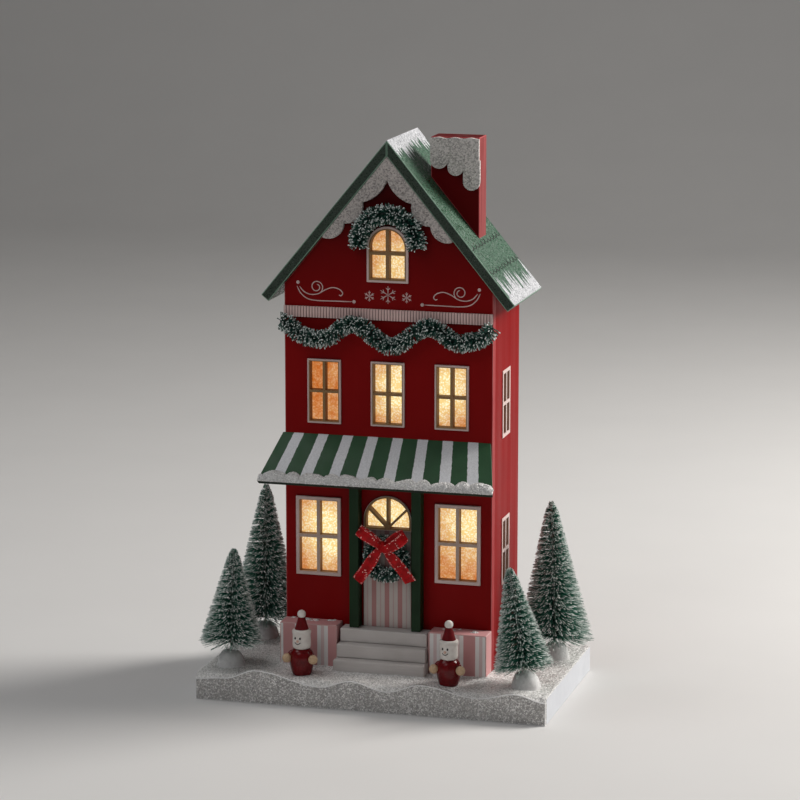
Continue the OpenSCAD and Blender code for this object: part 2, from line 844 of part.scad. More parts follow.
wreath_rows = 12;
wreath_core = 1.7;
wreath_flat = 0.9;
wreath_seat = wreath_core + wreath_flat;
wreath_y = front_y - door_t - soft_gap - wreath_seat;
wreath_mid_z = porch_z + wreath_z;

module door_wreath() {
    as = [for (k = [0:wreath_rows - 1]) 360 * k / wreath_rows];
    color(leaf_green) bristled(
        tinsel_rings([for (a = as) [wreath_r * cos(a), wreath_y, wreath_mid_z + wreath_r * sin(a)]],
            [for (a = as) [-sin(a), 0, cos(a)]], wreath_core),
        [for (k = as) wreath_tinsel], swag_sides, 0, wreath_seat, [0, 0, 0], true);
}

bow_back = min(wreath_y - wreath_tinsel, front_y - post_d) - soft_gap;
bow_z = wreath_mid_z + bow_rise;
loop_angles = [145, 36];
// Each loop's share of the loops' full length
loop_shares = [1, 0.86];
tail_angles = [231, 307];
knot = [6.4, loop_d + 0.6, 6.4];

// A loop of ribbon that leaves the knot along an angle in the front view
module ribbon_loop(angle, length) {
    round_r = loop_d / 2;
    rotate([0, -angle, 0]) translate([0, 0, -ribbon_w / 2]) linear_extrude(ribbon_w) difference() {
        union() {
            translate([length - round_r, -round_r]) circle(round_r);
            translate([0, -loop_d]) square([length - round_r, loop_d]);
        }
        translate([length - round_r, -round_r]) circle(round_r - ribbon_t);
        translate([0, ribbon_t - loop_d]) square([length - round_r, loop_d - 2 * ribbon_t]);
    }
}

// A flat tail of ribbon that leaves the knot along an angle in the front view
module ribbon_tail(angle) {
    rotate([0, -angle, 0]) translate([0, -ribbon_t, -ribbon_w / 2]) cube([tail_l, ribbon_t, ribbon_w]);
}

module ribbon_bow() {
    color("crimson") translate([0, bow_back, bow_z]) {
        translate([-knot[0] / 2, -knot[1], -knot[2] / 2]) cube(knot);
        for (k = [0, 1]) ribbon_loop(loop_angles[k], loop_shares[k] * loop_l);
        for (a = tail_angles) ribbon_tail(a);
    }
}

// Trees

// Each tree's lean to the right in degrees
lean_front_left = 2.2;
lean_front_right = -9;
lean_back_left = 1;
lean_back_right = -2;
tree_sides = 12;
small_rows = 13;
big_rows = 16;
stem_in = 4;
// Bare wire above the mound, and the height over which it widens to the brush's core
stem_bare = 1.2;
stem_flare = 0.6;
brush_core = 0.36;
tip_reach = 2.4;
strand_droop = 0.14;
front_tree_y = base_y0 + tree_front;
back_tree_y = base_y1 - tree_back;
tree_x = base_w / 2 - tree_in;
// The front right tree stands further in than the others
front_right_in = 2.5;
front_right_x = tree_x - front_right_in;
mound_h = mound_skirt + mound_r;

// The snow mound that a tree stands in, with a socket for its wire
module tree_mound(x, y, lean) {
    color(snow_white) translate([x, y, base_t]) difference() {
        rotate_extrude() {
            square([mound_r, mound_skirt]);
            translate([0, mound_skirt]) intersection() {
                circle(mound_r);
                square(mound_r);
            }
        }
        translate([0, 0, mound_h - stem_in]) rotate([0, lean, 0])
            cylinder(h = 2 * stem_in, r = stem_r + ease);
    }
}

// The wire and bristles of a tree, as rings up a leaning stem
module tree_brush(x, y, lean, height, reach, rows) {
    way = [sin(lean), 0, cos(lean)];
    side = [cos(lean), 0, -sin(lean)];
    foot = [x, y, base_t + mound_h - stem_in];
    length = height - mound_h + stem_in;
    bare = stem_in + stem_bare;
    brush_foot = bare + stem_flare;
    heights = concat([0, bare], [for (k = [0:rows]) brush_foot + (length - brush_foot) * k / rows]);
    reach_at = [for (k = [0:rows]) reach + (tip_reach - reach) * k / rows];
    cores = concat([stem_r, stem_r], [for (r = reach_at) max(stem_r, r * brush_core)]);
    rings = [for (k = [0:rows + 2]) [foot + way * heights[k], side, [0, 1, 0], cores[k]]];
    color(leaf_green) bristled(rings, concat([0, 0], reach_at), tree_sides, 2, no_seat, -strand_droop * way);
}

module tree_mound_front_left() { tree_mound(-tree_x, front_tree_y, lean_front_left); }
module tree_mound_front_right() { tree_mound(front_right_x, front_tree_y, lean_front_right); }
module tree_mound_back_left() { tree_mound(-tree_x, back_tree_y, lean_back_left); }
module tree_mound_back_right() { tree_mound(tree_x, back_tree_y, lean_back_right); }
module tree_brush_front_left() {
    tree_brush(-tree_x, front_tree_y, lean_front_left, small_h, small_left_r, small_rows);
}
module tree_brush_front_right() {
    tree_brush(front_right_x, front_tree_y, lean_front_right, small_h, small_right_r, small_rows);
}
module tree_brush_back_left() {
    tree_brush(-tree_x, back_tree_y, lean_back_left, big_h, big_r, big_rows);
}
module tree_brush_back_right() {
    tree_brush(tree_x, back_tree_y, lean_back_right, big_h, big_r, big_rows);
}

// Peg figures

figure_y = plinth_y - body_r - figure_gap;
arm_at = [0.74 * body_r, -0.2 * body_r, 0.83 * body_h];
// A hand lies past its arm, outwards, forwards and down
hand_way = [0.6, -0.52, -0.6];
hand_at = arm_at + (arm_r + hand_r + ease) * hand_way / norm(hand_way);

// Places its children at a figure's foot
module at_figure(side) {
    translate([side * figure_x, figure_y, base_t]) children();
}

module peg_body() {
    rotate_extrude() polygon([[0, 0], [0.8 * body_r, 0], [0.94 * body_r, 0.25 * body_h],
        [body_r, 0.5 * body_h], [0.92 * body_r, 0.75 * body_h], [0.72 * body_r, body_h], [0, body_h]]);
}

module peg_head() {
    translate([0, 0, body_h]) rotate_extrude() polygon([[0, 0], [0.86 * head_r, 0], [head_r, 0.16 * head_h],
        [head_r, 0.84 * head_h], [0.86 * head_r, head_h], [0, head_h]]);
}

module peg_cap() {
    translate([0, 0, body_h + head_h]) cylinder(h = cap_h, r1 = cap_r, r2 = cap_top_r);
}

module peg_pompom() {
    seat = sqrt(pompom_r * pompom_r - cap_top_r * cap_top_r);
    top = body_h + head_h + cap_h;
    intersection() {
        translate([0, 0, top + seat]) sphere(pompom_r);
        translate([-pompom_r, -pompom_r, top]) cube(3 * pompom_r);
    }
}

module peg_arm(side) {
    difference() {
        translate([side * arm_at[0], arm_at[1], arm_at[2]]) sphere(arm_r);
        peg_body();
    }
}

module peg_hand(side) {
    difference() {
        translate([side * hand_at[0], hand_at[1], hand_at[2]]) sphere(hand_r);
        peg_body();
    }
}

module figure_left_body() { color("firebrick") at_figure(-1) peg_body(); }
module figure_right_body() { color("firebrick") at_figure(1) peg_body(); }
module figure_left_head() { color("ivory") at_figure(-1) peg_head(); }
module figure_right_head() { color("ivory") at_figure(1) peg_head(); }
module figure_left_cap() { color("firebrick") at_figure(-1) peg_cap(); }
module figure_right_cap() { color("firebrick") at_figure(1) peg_cap(); }
module figure_pompoms() { color("ivory") for (s = [-1, 1]) at_figure(s) peg_pompom(); }
module figure_arms() { color("firebrick") for (s = [-1, 1]) at_figure(s) for (a = [-1, 1]) peg_arm(a); }
module figure_hands() { color("burlywood") for (s = [-1, 1]) at_figure(s) for (a = [-1, 1]) peg_hand(a); }

// Battery case in the back panel

cell_gap = 0.25;
contact_room = 3.5;
contact_t = 0.5;
knob = [5, 1, 5.4];
knob_ridge = [1.6, 1.8, 4.4];
switch_stem = 2.4;
switch_floor = 1.8;
switch_play = 0.1;
switch_bay = knob[0] + switch_travel + 3;
keeper_t = 0.8;
bay_l = cell_l + 2 * contact_room;
bay_h = 2 * cell_d + 3 * cell_gap;
bay_d = cell_d + 2 * cell_gap;
case_w = bay_l + switch_bay + 3 * case_wall;
case_x0 = -case_w / 2;
case_x1 = case_w / 2;
case_z0 = base_t + case_rise;
bay_x0 = case_x0 + case_wall;
bay_x1 = bay_x0 + bay_l;
bay_z0 = case_z0 + case_wall;
bay_z1 = bay_z0 + bay_h;
case_z1 = bay_z1 + case_wall;
switch_x0 = bay_x1 + case_wall;
flange_y = back_y + flange_t;
cover_y = flange_y - cover_t;
bay_y = cover_y - bay_d;
case_y0 = bay_y - case_wall;
hinge_y = cover_y + 0.2;
hinge_z = bay_z1 - cover_t - 0.3;
pin_l = 1.6;
// Tongue of the cover that snaps under the flange's lower edge
latch = [10, 1.2, 3];
latch_x = (bay_x0 + bay_x1) / 2;
screw_places = [for (s = [-1, 1]) [s * (case_w + flange_side) / 2, (case_z0 + case_z1) / 2]];
knob_z = (bay_z0 + bay_z1) / 2;
pocket_x0 = switch_x0 + (switch_bay - knob[0] - switch_travel) / 2;
pocket_x1 = pocket_x0 + knob[0] + switch_travel;
screw_head_r = 2.2 * screw_r;
screw_head_t = 1.4;
screw_l = flange_t + back_t - 1;

module battery_case() {
    pocket_y = back_y + switch_floor;
    slot_half = switch_stem / 2 + switch_play;
    color(case_black) difference() {
        union() {
            block([case_x0 - flange_side, back_y, case_z0 - flange_edge],
                [case_x1 + flange_side, flange_y, case_z1 + flange_edge]);
            block([case_x0, case_y0, case_z0], [case_x1, back_y, case_z1]);
        }
        block([bay_x0, bay_y, bay_z0], [bay_x1, flange_y + past, bay_z1]);
        block([switch_x0, case_y0 - past, bay_z0], [switch_x0 + switch_bay, back_y, bay_z1]);
        block([pocket_x0 - switch_play, pocket_y, knob_z - knob[2] / 2 - switch_play],
            [pocket_x1 + switch_play, flange_y + past, knob_z + knob[2] / 2 + switch_play]);
        block([pocket_x0 + knob[0] / 2 - slot_half, back_y - past, knob_z - slot_half],
            [pocket_x1 - knob[0] / 2 + slot_half, pocket_y + past, knob_z + slot_half]);
        rod_x([bay_x0 - pin_l, hinge_y, hinge_z], bay_l + 2 * pin_l, pin_r + pin_play);
        block([latch_x - latch[0] / 2 - cover_gap, flange_y - latch[1] - cover_gap, bay_z0 - latch[2]],
            [latch_x + latch[0] / 2 + cover_gap, flange_y + past, bay_z0 + past]);
        for (at = screw_places)
            rod_y([at[0], back_y - past, at[1]], flange_t + 2 * past, screw_r + ease);
    }
}

module battery_cover() {
    x0 = bay_x0 + cover_gap;
    x1 = bay_x1 - cover_gap;
    color(case_black) union() {
        block([x0, cover_y, bay_z0 + cover_gap], [x1, flange_y, hinge_z]);
        rod_x([x0, hinge_y, hinge_z], x1 - x0, knuckle_r);
        rod_x([x0 - pin_l, hinge_y, hinge_z], x1 - x0 + 2 * pin_l, pin_r);
        block([latch_x - latch[0] / 2, flange_y - latch[1], bay_z0 - latch[2] + cover_gap],
            [latch_x + latch[0] / 2, flange_y, bay_z0 + 2 * cover_gap]);
    }
}

module switch_slider() {
    pocket_y = back_y + switch_floor;
    x = pocket_x1 - knob[0] / 2;
    color("silver") union() {
        translate([x - knob[0] / 2, pocket_y + switch_play, knob_z - knob[2] / 2]) cube(knob);
        translate([x - knob_ridge[0] / 2, pocket_y + knob[1], knob_z - knob_ridge[2] / 2]) cube(knob_ridge);
        block([x - switch_stem / 2, back_y - switch_play - keeper_t, knob_z - switch_stem / 2],
            [x + switch_stem / 2, pocket_y + knob[1], knob_z + switch_stem / 2]);
        block([x - knob[0] / 2, back_y - switch_play - keeper_t, knob_z - knob[2] / 2],
            [x + knob[0] / 2, back_y - switch_play, knob_z + knob[2] / 2]);
    }
}

// The two cells lie one over the other, turned opposite ways
cell_y = bay_y + cell_gap + cell_d / 2;
cell_nub = [2.7, 1];
function cell_z(k) = bay_z0 + cell_gap + cell_d / 2 + k * (cell_d + cell_gap);

module battery_cells() {
    can = cell_l - cell_nub[1];
    color("goldenrod") for (k = [0, 1]) translate([(bay_x0 + bay_x1) / 2, cell_y, cell_z(k)])
        rotate([0, k == 0 ? 90 : -90, 0]) translate([0, 0, -cell_l / 2]) {
            cylinder(h = can, r = cell_d / 2);
            cylinder(h = cell_l, r = cell_nub[0]);
        }
}

// A bridge plate on the left, two plates on the right, each with a boss that presses on a cell
module battery_contacts() {
    boss = contact_room - contact_t - ease;
    half = cell_d * 0.35;
    color(metal_grey) {
        block([bay_x0, cell_y - half, cell_z(0) - half],
            [bay_x0 + contact_t, cell_y + half, cell_z(1) + half]);
        for (k = [0, 1]) {
            block([bay_x1 - contact_t, cell_y - half, cell_z(k) - half],
                [bay_x1, cell_y + half, cell_z(k) + half]);
            rod_x([bay_x0 + contact_t, cell_y, cell_z(k)], boss, cell_nub[0]);
            rod_x([bay_x1 - contact_t - boss, cell_y, cell_z(k)], boss, cell_nub[0]);
        }
    }
}

module case_screws() {
    color(metal_grey) for (at = screw_places) {
        rod_y([at[0], flange_y, at[1]], screw_head_t, screw_head_r);
        rod_y([at[0], flange_y - screw_l, at[1]], screw_l + screw_head_t / 2, screw_r);
    }
}

// Light string

// The wire leaves the case and climbs behind the windows. Heights on its route are above the board.
string_gap = 7;
string_y = film_y + film_t + string_gap;
// Where the wire comes out of the case, right of the middle and above the case's foot
wire_x = 12;
wire_rise = 20;
wire_start = [wire_x, case_y0, case_rise + wire_rise];
wire_lead = [0, -8, 0];
wire_route = [wire_start, wire_start + wire_lead, [24, 14, 46], [40, string_y + 4, 56],
    [49, string_y, 72], [48, string_y, 90], [36, string_y, 105], [18, string_y, 104],
    [2, string_y, 95], [-16, string_y, 84], [-32, string_y, 78], [-44, string_y, 86],
    [-48, string_y, 106], [-46, string_y, 130], [-40, string_y, 152], [-28, string_y, 168],
    [-12, string_y, 174], [4, string_y, 172], [20, string_y, 168], [34, string_y, 174],
    [40, string_y, 190], [32, string_y, 208], [16, string_y, 224], [6, string_y, 240],
    [3, string_y, 254]];
// Points of the route that carry a bulb, and points that rest on a pad
bulb_stops = [5, 8, 10, 11, 14, 17, 19, 23, 24];
pad_stops = [4, 6, 9, 13, 15, 18, 22];
pad_r = 2;
wire_sides = 8;
wire_parts = 3;
// A direction that the wire never runs along, so that its rings don't twist
wire_aside = [0, 1, -1];

// Spline from b to c, with a before and d after them
function spline(a, b, c, d, t) =
    (2 * b + (c - a) * t + (2 * a - 5 * b + 4 * c - d) * t * t + (3 * b - a - 3 * c + d) * t * t * t) / 2;
function route_at(k) = wire_route[min(max(k, 0), len(wire_route) - 1)] + [0, 0, base_t];
function route_between(k, t) = spline(route_at(k - 1), route_at(k), route_at(k + 1), route_at(k + 2), t);
wire_rows = wire_parts * (len(wire_route) - 1);
wire_points = [for (k = [0:wire_rows]) route_between(floor(k / wire_parts), (k % wire_parts) / wire_parts)];
function wire_way(k) =
    let (step = wire_points[min(k + 1, wire_rows)] - wire_points[max(k - 1, 0)]) step / norm(step);
function wire_ring(k) =
    let (way = wire_way(k), side = cross(way, wire_aside), unit = side / norm(side))
    [wire_points[k], unit, cross(way, unit), wire_r];

module light_wire() {
    color("darkgreen") bristled([for (k = [0:wire_rows]) wire_ring(k)], [], wire_sides, wire_rows);
}

module light_bulbs() {
    color("lightyellow") for (k = bulb_stops)
        translate(route_at(k) - [0, wire_r + bulb_r + ease, 0]) sphere(bulb_r);
}

// Pads that hold the wire off the film
module wire_pads() {
    color("white") for (k = pad_stops)
        rod_y([route_at(k)[0], film_y + film_t, route_at(k)[2]], string_gap - wire_r - ease, pad_r);
}

base_board();
snow_skirt();
front_panel();
left_wall();
right_wall();
back_panel();
roof_left();
roof_right();
gable_snow_trim();
cornice_strip();
chimney();
chimney_snow();
awning();
awning_snow();
door_post_left();
door_post_right();
door_panel();
fanlight_frame();
step_lower();
step_middle();
step_upper();
plinth_left();
plinth_right();
gable_window_frame();
upper_window_frames();
lower_window_frames();
side_window_frames();
front_window_film();
side_window_films();
swag_garland();
arch_garland();
door_wreath();
ribbon_bow();
tree_mound_front_left();
tree_mound_front_right();
tree_mound_back_left();
tree_mound_back_right();
tree_brush_front_left();
tree_brush_front_right();
tree_brush_back_left();
tree_brush_back_right();
figure_left_body();
figure_right_body();
figure_left_head();
figure_right_head();
figure_left_cap();
figure_right_cap();
figure_pompoms();
figure_arms();
figure_hands();
battery_case();
battery_cover();
switch_slider();
battery_cells();
battery_contacts();
case_screws();
light_wire();
light_bulbs();
wire_pads();
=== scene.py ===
"""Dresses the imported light-up house: painted boards, snow, brush trees, tinsel and lit windows.

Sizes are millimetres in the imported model's frame: x to the right of the front, y to the back, z up.
They become metres where a mesh is made.
"""

from __future__ import annotations

import json
import logging
from dataclasses import dataclass, field, replace
from enum import Enum
from typing import Any, Sequence

import bmesh
import bpy
import numpy as np
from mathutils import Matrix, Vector

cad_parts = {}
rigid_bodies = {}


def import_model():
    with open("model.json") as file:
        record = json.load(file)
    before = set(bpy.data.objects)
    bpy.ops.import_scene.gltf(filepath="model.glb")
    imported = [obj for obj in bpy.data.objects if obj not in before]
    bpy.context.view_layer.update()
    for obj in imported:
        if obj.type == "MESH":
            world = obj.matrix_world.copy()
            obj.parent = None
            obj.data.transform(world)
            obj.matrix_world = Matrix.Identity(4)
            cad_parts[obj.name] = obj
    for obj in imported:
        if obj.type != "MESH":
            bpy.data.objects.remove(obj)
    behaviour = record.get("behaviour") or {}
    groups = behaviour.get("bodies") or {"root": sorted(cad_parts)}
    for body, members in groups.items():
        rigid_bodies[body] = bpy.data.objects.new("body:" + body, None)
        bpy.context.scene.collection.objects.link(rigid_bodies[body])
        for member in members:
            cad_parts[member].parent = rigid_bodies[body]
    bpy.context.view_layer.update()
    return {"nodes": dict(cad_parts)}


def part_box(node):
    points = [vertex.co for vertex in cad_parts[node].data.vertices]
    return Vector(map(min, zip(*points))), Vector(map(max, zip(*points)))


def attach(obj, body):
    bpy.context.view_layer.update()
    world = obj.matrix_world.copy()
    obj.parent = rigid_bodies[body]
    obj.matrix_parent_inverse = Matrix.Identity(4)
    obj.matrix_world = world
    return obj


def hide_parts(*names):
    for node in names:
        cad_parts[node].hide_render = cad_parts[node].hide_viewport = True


MM = 0.001
TURN = 2 * np.pi
HOUSE = "house"
ALONG = "along"
LOT = "lot"
GLOW = "glow"
FAR = 1e4
NEAR = 0.01
END = 0.3
UP = np.array([0.0, 0.0, 1.0])
BACK = np.array([0.0, 1.0, 0.0])
LOG = logging.getLogger("house")

Array = np.ndarray
Color = tuple[float, float, float]
Spot = tuple[float, float]
NOISE_BAND: Spot = (0.3, 0.7)  # where nearly all of a noise's values lie
GREY: Color = (0.5, 0.5, 0.5)


class Side(Enum):
    """The two mirrored sides of the house, as the sign of x."""

    LEFT = -1
    RIGHT = 1

    @property
    def word(self) -> str:
        """The side's name, as nodes and pieces use it."""
        return self.name.lower()


class Grain(Enum):
    """How far a brush stroke or the wood's grain is drawn out along x, y and z."""

    UP = (1.0, 1.0, 30.0)
    ACROSS = (30.0, 1.0, 1.0)
    DEEP = (1.0, 30.0, 1.0)
    NONE = (1.0, 1.0, 1.0)


class Ease(Enum):
    """Radius to which a board's edges are sanded."""

    CRISP = 0.2
    THIN = 0.35
    BOARD = 0.55
    SOFT = 0.9


# Shapes


@dataclass(frozen=True)
class Box:
    """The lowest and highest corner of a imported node."""

    low: Array
    high: Array

    @classmethod
    def of(cls, node: str) -> "Box":
        """Reads a node's box from the frame."""
        low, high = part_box(node)
        return cls(np.array(low) / MM, np.array(high) / MM)

    @property
    def mid(self) -> Array:
        """The box's middle."""
        return (self.low + self.high) / 2

    @property
    def size(self) -> Array:
        """The box's three sizes."""
        return self.high - self.low


def corners(node: str) -> Array:
    """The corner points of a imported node."""
    return np.array([corner.co for corner in bpy.data.objects[node].data.vertices]) / MM


@dataclass
class Surface:
    """Points, blocks of faces with equal corner counts, and values that each point carries."""

    points: Array
    faces: list[Array]
    layers: dict[str, Array] = field(default_factory=dict)


def join(surfaces: Sequence[Surface]) -> Surface:
    """Puts several surfaces into one.

    Args:
        surfaces: The surfaces, which all carry the same layers.

    Returns:
        One surface with the points, faces and layers of all.
    """
    starts = np.cumsum([0] + [len(s.points) for s in surfaces[:-1]])
    faces = [block + start for s, start in zip(surfaces, starts) for block in s.faces]
    layers = {key: np.concatenate([s.layers[key] for s in surfaces]) for key in surfaces[0].layers}
    return Surface(np.concatenate([s.points for s in surfaces]), faces, layers)


def unit(vectors: Array) -> Array:
    """Scales each row to length one."""
    return vectors / np.maximum(np.linalg.norm(vectors, axis=-1, keepdims=True), 1e-9)


def grid(points: Array, wrap_rows: bool = False, wrap_columns: bool = False, caps: bool = False) -> Surface:
    """Joins a grid of points into four-cornered faces.

    Args:
        points: Points as rows, columns, xyz.
        wrap_rows: Whether the last row meets the first.
        wrap_columns: Whether the last column meets the first.
        caps: Whether the first and the last row are closed by a face.

    Returns:
        The surface, whose faces look along d(column) x d(row).
    """
    rows, columns = points.shape[:2]
    index = np.arange(rows * columns).reshape(rows, columns)
    if wrap_rows:
        index = np.vstack([index, index[:1]])
    if wrap_columns:
        index = np.hstack([index, index[:, :1]])
    quads = [index[:-1, :-1], index[:-1, 1:], index[1:, 1:], index[1:, :-1]]
    faces = [np.stack(quads, axis=-1).reshape(-1, 4)]
    if caps:
        faces += [np.arange(columns)[None, ::-1], np.arange((rows - 1) * columns, rows * columns)[None]]
    return Surface(points.reshape(-1, 3), faces)


def spline(points: Sequence[Sequence[float]], per_span: int = 10) -> Array:
    """A smooth curve through points: each span is the cubic that follows its neighbours' chords.

    Args:
        points: The points that the curve passes.
        per_span: Steps between two of them.

    Returns:
        The points along the curve.
    """
    p = np.asarray(points, float)
    p = np.vstack([2 * p[0] - p[1], p, 2 * p[-1] - p[-2]])
    a, b, c, d = (p[k:len(p) - 3 + k, None] for k in range(4))
    t = np.linspace(0, 1, per_span, endpoint=False)[None, :, None]
    curve = (2 * b + (c - a) * t + (2 * a - 5 * b + 4 * c - d) * t**2 + (3 * b - a - 3 * c + d) * t**3) / 2
    return np.vstack([curve.reshape(-1, p.shape[1]), p[-2]])


def oval(width: float, height: float, sides: int = 8) -> Array:
    """A closed oval profile of a width and a height."""
    angles = np.linspace(0, TURN, sides, endpoint=False)
    return np.stack([width / 2 * np.cos(angles), height / 2 * np.sin(angles)], axis=-1)


def frames(path: Array, hint: Array, closed: bool) -> tuple[Array, Array, Array]:
    """The moving axes of a path: its way, the side square to it and the hint, and the lift square to both.

    Args:
        path: Points along the path.
        hint: A direction that the path never runs along, one for all points or one each.
        closed: Whether the path ends where it starts.

    Returns:
        The ways, sides and lifts, one row a point.
    """
    if closed:
        ways = unit(np.roll(path, -1, axis=0) - np.roll(path, 1, axis=0))
    else:
        ways = unit(np.gradient(path, axis=0))
    sides = unit(np.cross(ways, hint))
    return ways, sides, np.cross(sides, ways)


def sweep(path: Array, profile: Array, hint: Sequence[float], closed: bool = False,
          scale: Any = 1.0) -> Surface:
    """Carries a closed profile along a path: path + scale * (u * side + v * lift).

    Args:
        path: Points along the path.
        profile: Points u, v of the profile.
        hint: A direction that the path never runs along.
        closed: Whether the path ends where it starts.
        scale: The profile's size, one number or one for each point of the path.

    Returns:
        The closed tube.
    """
    _, sides, lifts = frames(path, np.asarray(hint, float), closed)
    scales = np.broadcast_to(np.asarray(scale, float), len(path))[:, None, None]
    offsets = profile[None, :, :1] * sides[:, None] + profile[None, :, 1:] * lifts[:, None]
    return grid(path[:, None] + scales * offsets, wrap_rows=closed, wrap_columns=True, caps=not closed)


def lathe(radii: Array, heights: Array, foot: Array, steps: int = 48) -> Surface:
    """Turns a profile about the upright axis through a foot: (r cos a, r sin a, h) for all angles a.

    Args:
        radii: Radius at each height, nothing at a closed pole.
        heights: Heights above the foot.
        foot: Where the axis starts.
        steps: Steps round the axis.

    Returns:
        The turned surface.
    """
    angles = np.linspace(0, TURN, steps, endpoint=False)
    ring = np.stack([np.cos(angles), np.sin(angles), np.zeros(steps)], axis=-1)
    rise = heights[:, None, None] * UP
    return grid(foot + radii[:, None, None] * ring[None] + rise, wrap_columns=True)


def hoop(angles: Array) -> Array:
    """Points of a circle of radius one that faces the front, at some angles."""
    return np.stack([np.cos(angles), 0 * angles, np.sin(angles)], axis=-1)


def ball(centre: Array, radius: Array, rows: int = 14, steps: int = 24) -> Surface:
    """An oval ball: r * (cos p cos a, cos p sin a, sin p) for slopes p and angles a.

    Args:
        centre: Its middle.
        radius: Its three half sizes.
        rows: Rows from pole to pole.
        steps: Steps round the axis.

    Returns:
        The closed ball.
    """
    slopes = np.linspace(-np.pi / 2, np.pi / 2, rows)[:, None]
    angles = np.linspace(0, TURN, steps, endpoint=False)[None]
    shape = np.stack(np.broadcast_arrays(np.cos(slopes) * np.cos(angles), np.cos(slopes) * np.sin(angles),
                                         np.sin(slopes)), axis=-1)
    return grid(centre + radius * shape, wrap_columns=True)


def ripple(x: Array, y: Array, size: float, seed: int) -> Array:
    """An uneven field from about -1 to 1: the sum of eight sine waves in random directions.

    Args:
        x: First coordinate.
        y: Second coordinate.
        size: The waves' length.
        seed: Picks the directions and phases.

    Returns:
        The field at each x, y.
    """
    rng = np.random.default_rng(seed)
    turn, shift = rng.uniform(0, TURN, (2, 8))
    stretch = rng.uniform(0.7, 1.6, 8) * TURN / size
    phase = stretch * (np.asarray(x)[..., None] * np.cos(turn) + np.asarray(y)[..., None] * np.sin(turn))
    return np.sin(phase + shift).sum(axis=-1) / 4


def step_up(x: Array, low: float, high: float) -> Array:
    """Rises smoothly from 0 at low to 1 at high: 3 t^2 - 2 t^3."""
    t = np.clip((x - low) / (high - low), 0, 1)
    return t * t * (3 - 2 * t)


def strands(roots: Array, ways: Array, lengths: Array, radii: Sequence[float], sag: float,
            rng: Any) -> Surface:
    """Three-sided strands: at share t the axis lies at root + way l t - up sag l t^2.

    Args:
        roots: Where the strands start.
        ways: Their directions, of length one.
        lengths: Their lengths.
        radii: Radius at the root, past the middle and at the blunt tip.
        sag: How far the tip droops, as a share of the length.
        rng: Draws each strand's turn and lot.

    Returns:
        Closed strands, with the share along and a random lot as layers.
    """
    count = len(roots)
    shares = np.array([0.0, 0.6, 1.0])
    each = 3 * len(shares)
    pole = np.where(np.abs(ways[:, 2:]) > 0.9, [[1.0, 0.0, 0.0]], [[0.0, 0.0, 1.0]])
    sides = unit(np.cross(ways, pole))
    lifts = np.cross(ways, sides)
    angles = (rng.uniform(0, TURN, count)[:, None] + np.arange(3) * TURN / 3)[..., None]
    ring = np.cos(angles) * sides[:, None] + np.sin(angles) * lifts[:, None]
    axis = shares[:, None] * ways[:, None] - sag * shares[:, None] ** 2 * UP
    rows = roots[:, None] + axis * lengths[:, None, None]
    points = rows[:, :, None] + np.asarray(radii)[:, None, None] * ring[:, None]
    start = np.arange(count)[:, None, None] * each
    band = np.array([[0, 1, 4, 3], [1, 2, 5, 4], [2, 0, 3, 5]])
    ends = np.array([[0, 2, 1], [6, 7, 8]])
    faces = [(start + band).reshape(-1, 4), (start + band + 3).reshape(-1, 4), (start + ends).reshape(-1, 3)]
    layers = {ALONG: np.tile(np.repeat(shares, 3), count), LOT: np.repeat(rng.uniform(0, 1, count), each)}
    return Surface(points.reshape(-1, 3), faces, layers)


# Finishes


